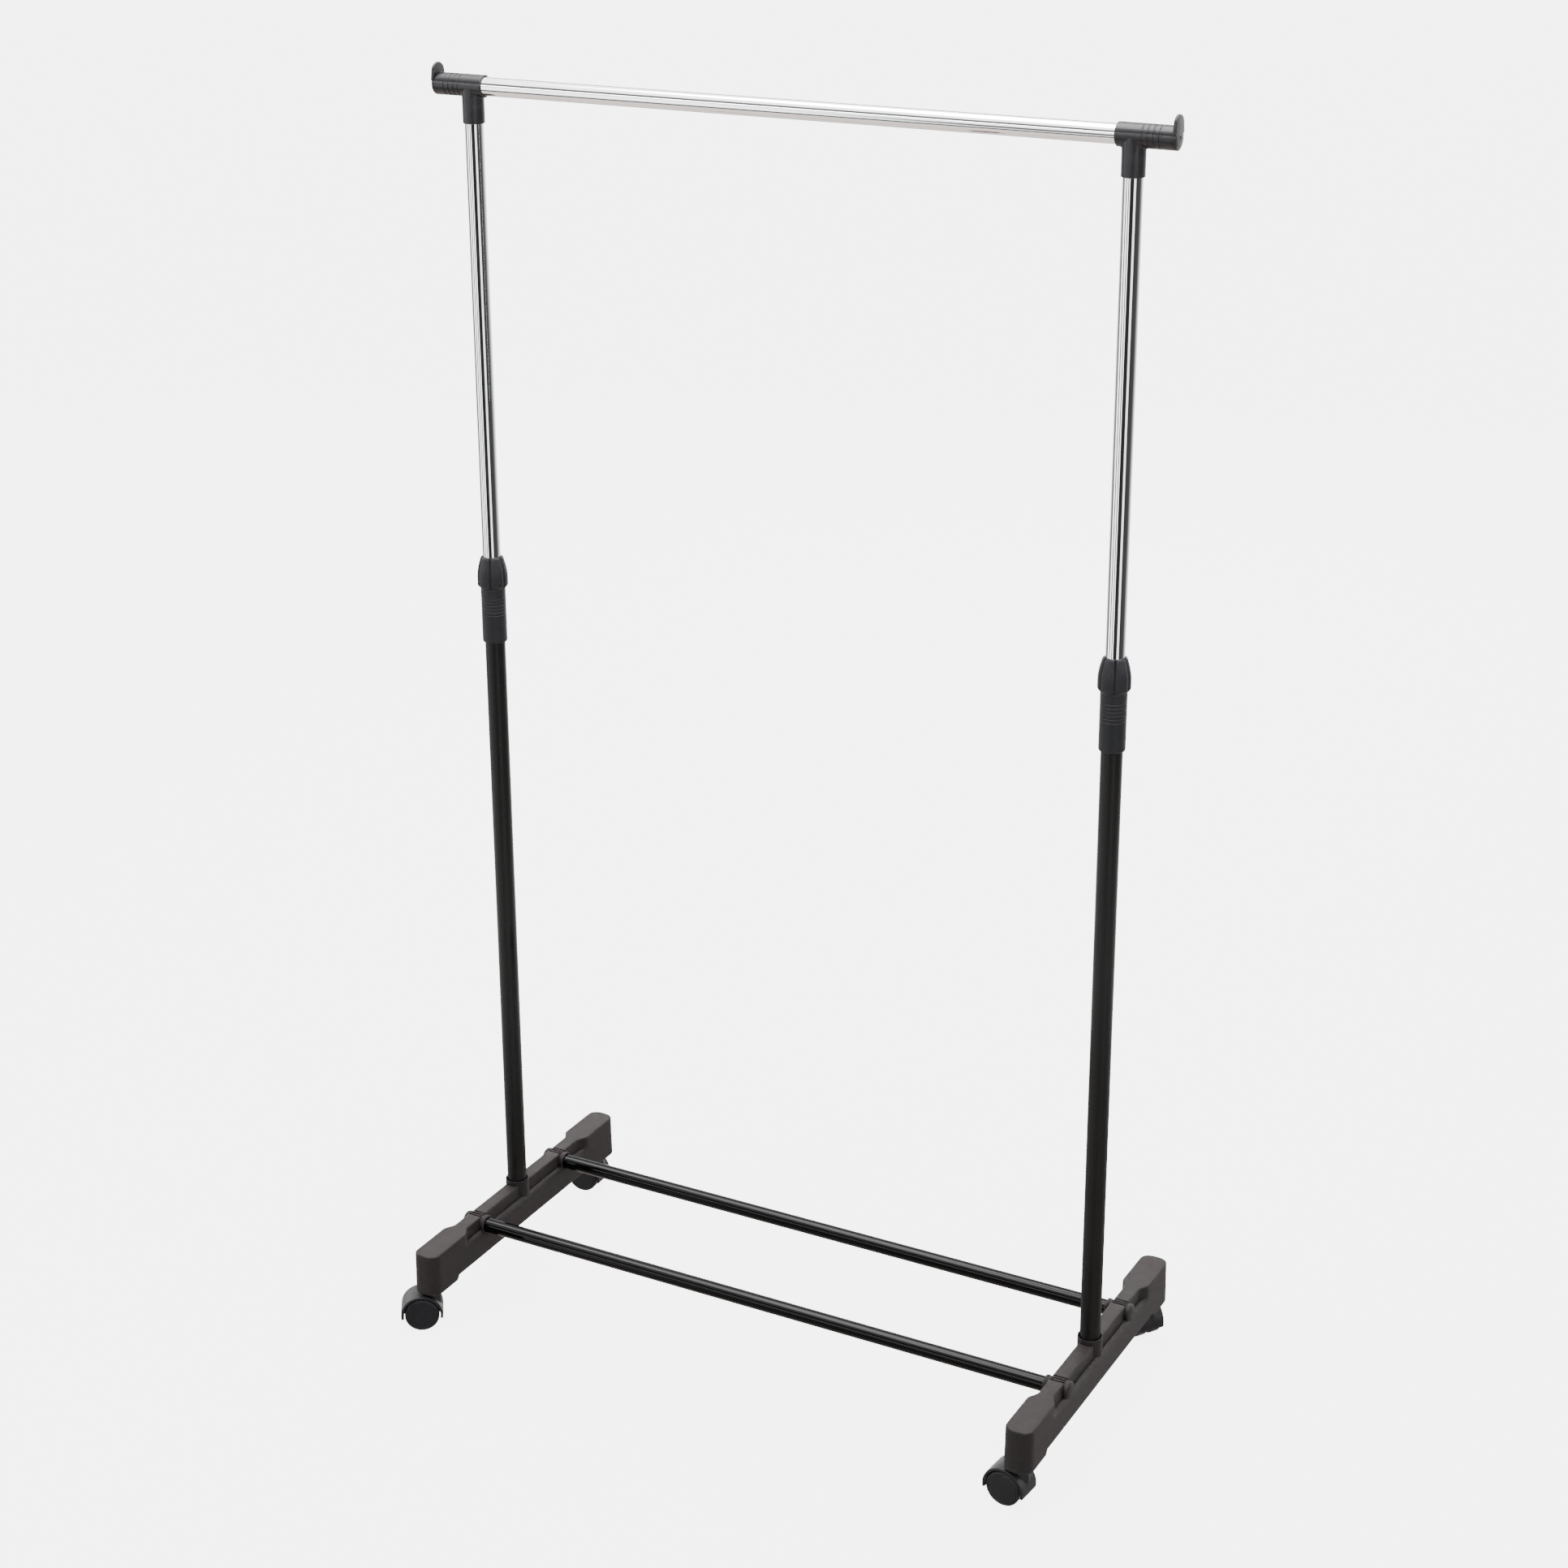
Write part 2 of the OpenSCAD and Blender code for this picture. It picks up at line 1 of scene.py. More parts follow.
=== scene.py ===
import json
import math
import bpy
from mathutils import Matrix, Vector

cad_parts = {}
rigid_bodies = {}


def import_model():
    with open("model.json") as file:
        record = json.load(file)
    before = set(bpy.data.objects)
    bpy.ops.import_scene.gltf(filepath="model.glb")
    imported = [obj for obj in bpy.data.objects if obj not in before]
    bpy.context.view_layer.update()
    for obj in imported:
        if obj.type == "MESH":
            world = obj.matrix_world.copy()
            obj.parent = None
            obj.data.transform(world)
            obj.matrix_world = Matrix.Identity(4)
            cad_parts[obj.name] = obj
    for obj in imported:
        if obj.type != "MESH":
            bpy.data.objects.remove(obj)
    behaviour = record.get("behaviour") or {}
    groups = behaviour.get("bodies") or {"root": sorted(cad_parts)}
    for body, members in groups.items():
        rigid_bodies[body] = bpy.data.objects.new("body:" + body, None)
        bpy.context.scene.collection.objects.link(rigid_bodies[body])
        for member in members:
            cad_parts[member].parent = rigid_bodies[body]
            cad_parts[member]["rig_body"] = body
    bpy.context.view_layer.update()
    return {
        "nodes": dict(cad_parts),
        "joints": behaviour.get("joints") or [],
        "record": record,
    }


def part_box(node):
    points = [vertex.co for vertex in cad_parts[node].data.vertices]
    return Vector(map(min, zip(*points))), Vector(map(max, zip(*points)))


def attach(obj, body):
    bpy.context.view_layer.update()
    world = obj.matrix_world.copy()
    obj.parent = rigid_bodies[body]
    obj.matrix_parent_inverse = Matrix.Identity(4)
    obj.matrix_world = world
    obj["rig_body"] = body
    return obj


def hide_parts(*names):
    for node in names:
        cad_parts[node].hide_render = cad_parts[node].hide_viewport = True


bl_info = {
    "name": "Rolling Clothes Rack",
    "version": (1, 0, 0),
    "blender": (4, 5, 0),
    "location": "View3D > Sidebar > Clothes Rack",
    "description": "Builds the visible pieces of an adjustable rolling clothes rack around its frame",
    "category": "Object",
}

import bmesh
import bpy
from bpy.props import FloatProperty, FloatVectorProperty, IntProperty, PointerProperty
from mathutils import Matrix, Vector

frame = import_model()

MM = 0.001
FULL_TURN = 2 * math.pi
SIDES = {"left": -1, "right": 1}
CORNERS = ("front_left", "front_right", "back_left", "back_right")
TUBE_SEGMENTS = 96
ALONG_X = Matrix.Rotation(math.radians(90), 4, "Y")

# all in millimetres
FIT = 0.02            # gap between a fitting and the tube inside it
WELD = 0.001          # points closer than this become one
FOOT_HEIGHT = 55      # from an end block's pad to the top of the foot
BEAM_DEPTH = 49       # from the top of the foot to the beam's lower edge
CAP_DOME = 1.2        # how far an end cap's face bulges
WHEEL_WIDTH = 13.5
WHEEL_INSET = 3.2     # from a caster's middle to the inner face of a wheel
AXLE_RADIUS = 2.5

FLOOR_GLOW = 5.0
BACKDROP_GLOW = 5.4
ROOM_LIGHT = 0.4
ROOM_MIRROR = 4.5
# tones of the room as the chrome sees it, by bearing in degrees from the rack's +X axis
ROOM_WALLS = [
    (-180, 0.06), (-166, 0.07), (-160, 1), (-149, 1), (-146, 0.05), (-134, 0.06), (-130, 0.9),
    (-119, 0.9), (-116, 0.05), (-106, 0.05), (-103, 0.95), (-98, 0.95), (-94, 0.008),
    (-56, 0.008), (-50, 0.6), (-34, 0.62), (-28, 0.012), (24, 0.02), (46, 0.12), (80, 0.5),
    (110, 0.9), (140, 0.6), (165, 0.08), (180, 0.06)]
# and by height above or below the eye line, as the sine of its angle
ROOM_LAYERS = [
    (-1, (0.30, 0.26, 0.24)), (-0.66, (0.36, 0.315, 0.29)), (-0.63, 0.04), (-0.47, 0.05),
    (-0.43, 0.7), (0.10, 0.8), (0.15, 0.04), (0.21, 0.04), (0.23, 4), (0.29, 4), (0.31, 0.05),
    (0.58, 0.06), (0.63, 0.95), (0.84, 1), (0.87, 6), (0.93, 6), (0.95, 0.8), (1, 0.8)]
# 1 where the walls show in the mirror image, 0 where the layers do
ROOM_BELT = [(-0.40, 0), (-0.36, 1), (-0.08, 1), (-0.05, 0)]

RACK_MIDDLE = (0, 0, 0.8)
# name, place, what it is turned towards, width and height in metres, power in watts
SOFTBOXES = (("key_box", (-2.6, -3.4, 3.2), RACK_MIDDLE, 1.6, 2.4, 70),
             ("fill_box", (3.6, -2.2, 1.9), RACK_MIDDLE, 1.0, 2.6, 32),
             ("top_box", (0.2, 0.3, 4.2), (0, 0, 0), 3.2, 2.0, 66),
             ("back_box", (-1.2, 3.8, 2.4), RACK_MIDDLE, 2.2, 1.6, 36))

CAMERA_PLACE = (1.519, -2.820, 2.015)
CAMERA_YAW, CAMERA_PITCH, CAMERA_ROLL = 28.56, 20.16, -0.33
CAMERA_SHIFT = (0.0057, -0.0445)
SENSOR_WIDTH = 36       # mm
FOCAL_LENGTH = 66.466   # mm


# ---------- what the frame says ----------

def low(node):
    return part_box(node)[0]


def high(node):
    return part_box(node)[1]


def middle(node):
    return (low(node) + high(node)) / 2


def extent(node):
    return high(node) - low(node)


def body_of(node):
    return frame["nodes"][node]["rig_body"]


def joint(name):
    return next(j for j in frame["joints"] if j["name"] == name)


def post_x(side):
    return middle(f"{side}_lower_post").x


def rail_height():
    return middle("top_rail").z


# ---------- sizes and colours that a user would change ----------

def length(name, what, default_mm, low_mm, high_mm):
    return FloatProperty(name=name, description=what, default=default_mm * MM, min=low_mm * MM,
                         max=high_mm * MM, subtype="DISTANCE", unit="LENGTH", precision=4)


def colour(name, what, default):
    return FloatVectorProperty(name=name, description=what, default=default, min=0, max=1,
                               size=3, subtype="COLOR")


class RackSizes(bpy.types.PropertyGroup):
    tube_wall: length("Tube wall", "Wall of the chrome and painted tubes", 1.0, 0.5, 2)
    tee_wall: length("Tee wall", "Wall of the tee fittings' sleeves", 2.0, 1, 4)
    tee_groove_width: length("Tee groove width", "Width of a grip groove on a tee", 1.8, 0.5, 3)
    tee_groove_depth: length("Tee groove depth", "Depth of a grip groove on a tee", 0.7, 0.2, 1.5)
    tee_groove_pitch: length("Tee groove pitch", "Distance between grip grooves", 6.5, 3, 9)
    tee_grooves: IntProperty(name="Tee grooves", description="Grip grooves on a tee", default=4,
                             min=1, max=6)
    stop_thickness: length("Hook stop thickness", "Thickness of the cap's upright stop", 4, 2, 8)
    sleeve_ring_pitch: length("Sleeve ring pitch", "Distance between the sleeve's rings", 4.3, 2, 8)
    sleeve_rings: IntProperty(name="Sleeve rings", description="Fine rings round a lock sleeve",
                              default=6, min=0, max=10)
    petal_count: IntProperty(name="Nut petals", description="Petals round a lock nut", default=6,
                             min=3, max=12)
    petal_valley: length("Nut valley depth", "Depth of the valleys between petals", 1.9, 0.5, 4)
    foot_wall: length("Foot wall", "Wall of the moulded feet", 2.6, 1.5, 4)
    foot_round: length("Foot edge radius", "Radius along the feet's top edges", 1.7, 0.5, 4)
    foot_draft: length("Foot draft", "How much the feet narrow towards the top", 0.9, 0, 2)
    spine_width: length("Foot spine width", "Width of the raised spine", 21, 12, 28)
    spine_height: length("Foot spine height", "Height of the spine above its ledge", 16, 8, 24)
    block_length: length("Foot block length", "Length of an end block's wide top", 70, 50, 110)
    foot_groove: length("Foot groove depth", "Depth of the grip grooves over a rail's boss",
                        1.9, 0.3, 2.4)
    hood_wall: length("Caster hood wall", "Wall of a caster's hood", 3.4, 2, 5)


class RackColours(bpy.types.PropertyGroup):
    chrome: colour("Chrome", "Plated tubes", (0.86, 0.87, 0.89))
    post_paint: colour("Post paint", "Lower posts", (0.0075, 0.0070, 0.0067))
    rail_paint: colour("Rail paint", "Bottom rails", (0.003, 0.003, 0.0035))
    foot: colour("Foot plastic", "Moulded feet", (0.0145, 0.0130, 0.0134))
    lock: colour("Lock plastic", "Lock nuts and sleeves", (0.015, 0.0152, 0.0185))
    fitting: colour("Fitting plastic", "Tees", (0.0115, 0.0116, 0.0145))
    cap: colour("Cap plastic", "End caps", (0.0095, 0.0095, 0.0112))
    caster: colour("Caster plastic", "Caster hoods and sockets", (0.009, 0.009, 0.0103))
    wheel: colour("Wheel plastic", "Caster wheels", (0.0078, 0.0079, 0.0100))
    steel: colour("Zinc plate", "Stems, axles, bolts and screws", (0.55, 0.55, 0.56))
    nylon: colour("Natural nylon", "Collets and guide bushes", (0.68, 0.66, 0.60))
    floor: colour("Floor", "Studio floor", (0.86, 0.86, 0.86))


def sizes():
    return bpy.context.scene.rack_sizes


def colours():
    return bpy.context.scene.rack_colours


# ---------- shader node groups ----------

def add(tree, kind, inputs=(), **settings):
    """A node of that kind, with its settings and its input values."""
    made = tree.nodes.new(kind)
    for name, value in settings.items():
        setattr(made, name, value)
    for key, value in dict(inputs).items():
        made.inputs[key].default_value = value
    return made


def new_group(name, ins, outs):
    """An empty node group with float inputs and outputs, and its two end nodes."""
    tree = bpy.data.node_groups.new(name, "ShaderNodeTree")
    for label, default in ins.items():
        socket = tree.interface.new_socket(label, in_out="INPUT", socket_type="NodeSocketFloat")
        socket.default_value = default
    for label in outs:
        tree.interface.new_socket(label, in_out="OUTPUT", socket_type="NodeSocketFloat")
    return tree, add(tree, "NodeGroupInput"), add(tree, "NodeGroupOutput")


def object_noise(tree, scale_socket, detail=3.0, stretch=(1, 1, 1)):
    """Noise on the piece's own coordinates."""
    place = add(tree, "ShaderNodeTexCoord")
    turn = add(tree, "ShaderNodeMapping", {"Scale": stretch})
    noise = add(tree, "ShaderNodeTexNoise", {"Detail": detail, "Roughness": 0.55})
    tree.links.new(place.outputs["Object"], turn.inputs["Vector"])
    tree.links.new(turn.outputs["Vector"], noise.inputs["Vector"])
    tree.links.new(scale_socket, noise.inputs["Scale"])
    return noise.outputs["Fac"]


def remap(tree, value, from_low, from_high, to_low=0.0, to_high=1.0):
    made = add(tree, "ShaderNodeMapRange", {"From Min": from_low, "From Max": from_high,
                                            "To Min": to_low, "To Max": to_high})
    tree.links.new(value, made.inputs["Value"])
    return made.outputs["Result"]


def maths(tree, operation, a, b):
    """a and b are sockets or plain numbers."""
    made = add(tree, "ShaderNodeMath", operation=operation)
    for slot, value in enumerate((a, b)):
        if isinstance(value, (int, float)):
            made.inputs[slot].default_value = value
        else:
            tree.links.new(value, made.inputs[slot])
    return made.outputs[0]


def grain_group():
    """Spark-eroded mould grain: a fine height and a slow change of tone."""
    tree, ends_in, ends_out = new_group("Mould Grain", {"Grain Scale": 1400.0, "Tone Scale": 18.0},
                                        ("Height", "Tone"))
    fine = object_noise(tree, ends_in.outputs["Grain Scale"], detail=2.0)
    coarse = object_noise(tree, maths(tree, "MULTIPLY", ends_in.outputs["Grain Scale"], 0.31), 1.0)
    both = maths(tree, "ADD", maths(tree, "MULTIPLY", fine, 0.7), maths(tree, "MULTIPLY", coarse, 0.3))
    tree.links.new(both, ends_out.inputs["Height"])
    slow = object_noise(tree, ends_in.outputs["Tone Scale"], detail=4.0)
    tree.links.new(remap(tree, slow, 0.3, 0.7), ends_out.inputs["Tone"])
    return tree


def wear_group():
    """Rubbed edges: the piece's own edge attribute, broken up by noise."""
    tree, ends_in, ends_out = new_group("Rubbed Edges", {"Amount": 0.5, "Breakup Scale": 160.0},
                                        ("Mask",))
    edge = add(tree, "ShaderNodeAttribute", attribute_name="edge_wear")
    noise = object_noise(tree, ends_in.outputs["Breakup Scale"], detail=5.0)
    broken = maths(tree, "MULTIPLY", edge.outputs["Fac"], remap(tree, noise, 0.38, 0.62))
    tree.links.new(maths(tree, "MULTIPLY", broken, ends_in.outputs["Amount"]), ends_out.inputs["Mask"])
    return tree


def dust_group():
    """Dust that settles on what faces up."""
    tree, ends_in, ends_out = new_group("Settled Dust", {"Amount": 0.3, "Patch Scale": 60.0},
                                        ("Mask",))
    facing = add(tree, "ShaderNodeNewGeometry")
    split = add(tree, "ShaderNodeSeparateXYZ")
    tree.links.new(facing.outputs["Normal"], split.inputs["Vector"])
    up = remap(tree, split.outputs["Z"], 0.35, 1.0)
    noise = object_noise(tree, ends_in.outputs["Patch Scale"], detail=6.0)
    patchy = maths(tree, "MULTIPLY", up, remap(tree, noise, 0.3, 0.75, 0.35, 1.0))
    tree.links.new(maths(tree, "MULTIPLY", patchy, ends_in.outputs["Amount"]), ends_out.inputs["Mask"])
    return tree


def handling_group():
    """Faint marks of hands and cloth on smooth surfaces, and hairline scratches."""
    tree, ends_in, ends_out = new_group("Handling Marks", {"Smudge Scale": 14.0,
                                                           "Scratch Scale": 420.0},
                                        ("Smudge", "Scratch"))
    smudge = object_noise(tree, ends_in.outputs["Smudge Scale"], detail=5.0)
    tree.links.new(remap(tree, smudge, 0.42, 0.72), ends_out.inputs["Smudge"])
    fine = object_noise(tree, ends_in.outputs["Scratch Scale"], 2.0, stretch=(1, 1, 0.04))
    tree.links.new(fine, ends_out.inputs["Scratch"])
    return tree


GROUPS = {"grain": ("Mould Grain", grain_group), "wear": ("Rubbed Edges", wear_group),
          "dust": ("Settled Dust", dust_group), "marks": ("Handling Marks", handling_group)}


def use_group(tree, kind, **values):
    """A shared group placed in a material, built the first time it is needed."""
    made = add(tree, "ShaderNodeGroup")
    title, build = GROUPS[kind]
    made.node_tree = bpy.data.node_groups.get(title) or build()
    for name, value in values.items():
        made.inputs[name.replace("_", " ").title()].default_value = value
    return made


# ---------- materials ----------

def new_material(name, roughness, metallic=0.0, sheen=0.5):
    material = bpy.data.materials.new(name)
    material.use_nodes = True
    shader = material.node_tree.nodes["Principled BSDF"]
    shader.inputs["Roughness"].default_value = roughness
    shader.inputs["Metallic"].default_value = metallic
    shader.inputs["Specular IOR Level"].default_value = sheen
    return material, material.node_tree, shader


def shade(rgb, factor):
    return (*[min(1.0, c * factor) for c in rgb], 1.0)


def mix_colour(tree, mask, first, second):
    """A colour mix. first and second are sockets or colours."""
    made = add(tree, "ShaderNodeMix", data_type="RGBA")
    tree.links.new(mask, made.inputs["Factor"])
    for key, value in (("A", first), ("B", second)):
        socket = next(s for s in made.inputs if s.name == key and s.type == "RGBA")
        if isinstance(value, bpy.types.NodeSocket):
            tree.links.new(value, socket)
        else:
            socket.default_value = value
    return next(s for s in made.outputs if s.type == "RGBA")


def tone_ramp(tree, value, stops):
    """A colour ramp over value, from (place, tone) stops; a tone is a number or a colour."""
    ramp = add(tree, "ShaderNodeValToRGB")
    tree.links.new(value, ramp.inputs["Fac"])
    marks = ramp.color_ramp.elements
    marks.remove(marks[1])
    marks[0].position = stops[0][0]
    for i, (place, tone) in enumerate(stops):
        mark = marks.new(place) if i else marks[0]
        mark.color = (*tone, 1) if isinstance(tone, tuple) else (tone, tone, tone, 1)
    return ramp.outputs["Color"]


def bump(tree, shader, height, distance, strength=1.0):
    made = add(tree, "ShaderNodeBump", {"Distance": distance, "Strength": strength})
    tree.links.new(height, made.inputs["Height"])
    tree.links.new(made.outputs["Normal"], shader.inputs["Normal"])


def moulded(name, base, roughness, grain_scale, grain_depth, wear, dust, warm=1.0, sheen=0.16):
    """Injection-moulded plastic with mould grain, rubbed edges and a little dust."""
    material, tree, shader = new_material(name, roughness, sheen=sheen)
    grain = use_group(tree, "grain", grain_scale=grain_scale)
    rubbed = use_group(tree, "wear", amount=wear)
    settled = use_group(tree, "dust", amount=dust)
    warm_base = (base[0] * 1.18 * warm, base[1] * 1.06, base[2] * 1.04)
    toned = mix_colour(tree, grain.outputs["Tone"], shade(base, 0.88), shade(warm_base, 1.08))
    worn = mix_colour(tree, rubbed.outputs["Mask"], toned, shade(base, 2.6))
    dusty = mix_colour(tree, settled.outputs["Mask"], worn, (0.11, 0.098, 0.094, 1))
    tree.links.new(dusty, shader.inputs["Base Color"])
    polished = maths(tree, "MULTIPLY", rubbed.outputs["Mask"], -0.18)
    veiled = maths(tree, "MULTIPLY", settled.outputs["Mask"], 0.25)
    uneven = remap(tree, grain.outputs["Tone"], 0, 1, roughness - 0.03, roughness + 0.04)
    rough = maths(tree, "ADD", maths(tree, "ADD", uneven, polished), veiled)
    tree.links.new(rough, shader.inputs["Roughness"])
    bump(tree, shader, grain.outputs["Height"], grain_depth * MM)
    return material


def painted(name, base, roughness, coat, sheen, dust=0.02):
    """Stoved paint on steel tube, with a faint orange peel under the gloss."""
    material, tree, shader = new_material(name, roughness, sheen=sheen)
    shader.inputs["Coat Weight"].default_value = coat
    shader.inputs["Coat Roughness"].default_value = 0.06
    grain = use_group(tree, "grain", grain_scale=260.0, tone_scale=9.0)
    marks = use_group(tree, "marks")
    rubbed = use_group(tree, "wear", amount=0.5)
    settled = use_group(tree, "dust", amount=dust)
    toned = mix_colour(tree, grain.outputs["Tone"], shade(base, 0.85), shade(base, 1.2))
    worn = mix_colour(tree, rubbed.outputs["Mask"], toned, (0.05, 0.047, 0.045, 1))
    dusty = mix_colour(tree, settled.outputs["Mask"], worn, (0.16, 0.15, 0.14, 1))
    tree.links.new(dusty, shader.inputs["Base Color"])
    smudged = remap(tree, marks.outputs["Smudge"], 0, 1, roughness, roughness + 0.09)
    veiled = maths(tree, "MULTIPLY", settled.outputs["Mask"], 0.3)
    tree.links.new(maths(tree, "ADD", smudged, veiled), shader.inputs["Roughness"])
    bump(tree, shader, grain.outputs["Height"], 0.001 * MM)
    return material


def chrome_plate(name, base):
    """Bright chrome with faint smudges and hairline marks."""
    material, tree, shader = new_material(name, 0.05, metallic=1.0)
    marks = use_group(tree, "marks", smudge_scale=11.0)
    tint = mix_colour(tree, marks.outputs["Smudge"], shade(base, 1.0), shade(base, 0.93))
    tree.links.new(tint, shader.inputs["Base Color"])
    rough = remap(tree, marks.outputs["Smudge"], 0, 1, 0.03, 0.06)
    fine = remap(tree, marks.outputs["Scratch"], 0.55, 0.8, 0.0, 0.03)
    tree.links.new(maths(tree, "ADD", rough, fine), shader.inputs["Roughness"])
    bump(tree, shader, marks.outputs["Scratch"], 0.0015 * MM)
    return material


def zinc_plate(name, base):
    """Zinc-plated steel, a little cloudy."""
    material, tree, shader = new_material(name, 0.3, metallic=1.0)
    marks = use_group(tree, "marks", smudge_scale=90.0, scratch_scale=900.0)
    tint = mix_colour(tree, marks.outputs["Smudge"], shade(base, 1.1), shade(base, 0.7))
    tree.links.new(tint, shader.inputs["Base Color"])
    tree.links.new(remap(tree, marks.outputs["Smudge"], 0, 1, 0.24, 0.42), shader.inputs["Roughness"])
    bump(tree, shader, marks.outputs["Scratch"], 0.01 * MM)
    return material


def studio_floor(name, base):
    """Pale matt floor that glows a little for the camera and lets mirror rays through to the room."""
    material, tree, shader = new_material(name, 0.85)
    grain = use_group(tree, "grain", grain_scale=300.0, tone_scale=0.6)
    toned = mix_colour(tree, grain.outputs["Tone"], shade(base, 0.99), shade(base, 1.01))
    tree.links.new(toned, shader.inputs["Base Color"])
    ray = add(tree, "ShaderNodeLightPath")
    glow = add(tree, "ShaderNodeEmission", {"Color": (1, 1, 1, 1), "Strength": FLOOR_GLOW})
    clear = add(tree, "ShaderNodeBsdfTransparent")
    lit = add(tree, "ShaderNodeAddShader")
    tree.links.new(shader.outputs["BSDF"], lit.inputs[0])
    tree.links.new(glow.outputs["Emission"], lit.inputs[1])
    seen = add(tree, "ShaderNodeMixShader")
    tree.links.new(ray.outputs["Is Camera Ray"], seen.inputs["Fac"])
    tree.links.new(shader.outputs["BSDF"], seen.inputs[1])
    tree.links.new(lit.outputs["Shader"], seen.inputs[2])
    facing = add(tree, "ShaderNodeNewGeometry")
    open_way = maths(tree, "MAXIMUM", ray.outputs["Is Glossy Ray"], facing.outputs["Backfacing"])
    whole = add(tree, "ShaderNodeMixShader")
    tree.links.new(open_way, whole.inputs["Fac"])
    tree.links.new(seen.outputs["Shader"], whole.inputs[1])
    tree.links.new(clear.outputs["BSDF"], whole.inputs[2])
    tree.links.new(whole.outputs["Shader"], tree.nodes["Material Output"].inputs["Surface"])
    return material


def make_finish(slot):
    """The material of one of the record's slots."""
    c = colours()
    titles = {"chrome_tube": "Chrome Plate", "zinc_steel": "Zinc Plate"}
    title = titles.get(slot, slot.replace("_", " ").title())
    makers = {
        "chrome_tube": lambda: chrome_plate(title, c.chrome),
        "zinc_steel": lambda: zinc_plate(title, c.steel),
        "post_paint": lambda: painted(title, c.post_paint, 0.32, coat=0.06, sheen=0.12),
        "rail_paint": lambda: painted(title, c.rail_paint, 0.10, coat=0.11, sheen=0.03),
        "foot_plastic": lambda: moulded(title, c.foot, 0.56, 1100.0, 0.06, wear=0.35, dust=0.16,
                                        warm=1.05, sheen=0.12),
        "lock_plastic": lambda: moulded(title, c.lock, 0.47, 1500.0, 0.04, wear=0.5, dust=0.06),
        "fitting_plastic": lambda: moulded(title, c.fitting, 0.30, 1700.0, 0.015, wear=0.45,
                                           dust=0.05, sheen=0.3),
        "cap_plastic": lambda: moulded(title, c.cap, 0.34, 1700.0, 0.015, wear=0.6, dust=0.05,
                                       sheen=0.25),
        "caster_plastic": lambda: moulded(title, c.caster, 0.44, 1300.0, 0.04, wear=0.5, dust=0.10),
        "wheel_plastic": lambda: moulded(title, c.wheel, 0.40, 1600.0, 0.02, wear=0.5, dust=0.04),
        "natural_nylon": lambda: moulded(title, c.nylon, 0.45, 900.0, 0.03, wear=0.0, dust=0.02),
    }
    return bpy.data.materials.get(title) or makers[slot]()


# ---------- mesh helpers ----------

def rounded(corners, closed, steps):
    """Outline points from (radius, height, fillet) corners, each fillet drawn as an arc."""
    points = []
    for i, (r, z, fillet) in enumerate(corners):
        here = Vector((r, z))
        if fillet <= 0 or (not closed and i in (0, len(corners) - 1)):
            points.append(here)
            continue
        before = Vector(corners[i - 1][:2]) - here
        after = Vector(corners[(i + 1) % len(corners)][:2]) - here
        half = before.angle(after) / 2
        reach = min(fillet / math.tan(half), 0.49 * before.length, 0.49 * after.length)
        bisector = (before.normalized() + after.normalized()).normalized()
        centre = here + bisector * reach / math.cos(half)
        start = here + before.normalized() * reach - centre
        swept = start.angle_signed(here + after.normalized() * reach - centre)
        for k in range(steps + 1):
            points.append(centre + Matrix.Rotation(-swept * k / steps, 2) @ start)
    return held(points, closed)


def held(points, closed):
    """The outline with a point close to each end of its long runs, so that shading stays flat there."""
    margin = 0.35
    whole = []
    for i, point in enumerate(points):
        whole.append(point)
        if i + 1 == len(points) and not closed:
            break
        run = points[(i + 1) % len(points)] - point
        if run.length > 6 * margin:
            step = run.normalized() * margin
            whole += [point + step, point + run - step]
    return whole


def turned(corners, closed=True, segments=TUBE_SEGMENTS, steps=4, angle=FULL_TURN):
    """A profile in millimetres, given as (radius, height, fillet) corners, turned about Z."""
    form = bmesh.new()
    verts = [form.verts.new((p.x * MM, 0, p.y * MM)) for p in rounded(corners, closed, steps)]
    ring = verts + verts[:1] if closed else verts
    edges = [form.edges.new(pair) for pair in zip(ring, ring[1:])]
    whole = abs(angle - FULL_TURN) < 1e-6
    bmesh.ops.spin(form, geom=verts + edges, axis=(0, 0, 1), cent=(0, 0, 0), angle=angle,
                   steps=segments, use_merge=whole)
    bmesh.ops.remove_doubles(form, verts=form.verts, dist=WELD * MM)
    if not whole:
        bmesh.ops.holes_fill(form, edges=[e for e in form.edges if e.is_boundary])
    bmesh.ops.recalc_face_normals(form, faces=form.faces)
    return form


def moved(form, *matrices):
    for matrix in matrices:
        form.transform(matrix)
    return form


def at(x=0.0, y=0.0, z=0.0):
    return Matrix.Translation((x, y, z))


def mirrored_x(form):
    """The form as seen in a mirror across X, with its faces still outwards."""
    form.transform(Matrix.Scale(-1, 4, (1, 0, 0)))
    bmesh.ops.reverse_faces(form, faces=form.faces)
    return form


def joined(*forms):
    whole = bmesh.new()
    for form in forms:
        carrier = bpy.data.meshes.new("carrier")
        form.to_mesh(carrier)
        form.free()
        whole.from_mesh(carrier)
        bpy.data.meshes.remove(carrier)
    return whole


def keep_bearings(form):
    """Stores each point's bearing about Z, which new points keep as a rim is drawn out."""
    layer = form.verts.layers.float.new("angle")
    for vert in form.verts:
        vert[layer] = math.atan2(vert.co.y, vert.co.x)
    return layer


def drawn_out(form, rim):
    """Extrudes a rim of edges. Gives the new points and the new rim."""
    made = bmesh.ops.extrude_edge_only(form, edges=rim)["geom"]
    return ([g for g in made if isinstance(g, bmesh.types.BMVert)],
            [g for g in made if isinstance(g, bmesh.types.BMEdge) and g.is_boundary])


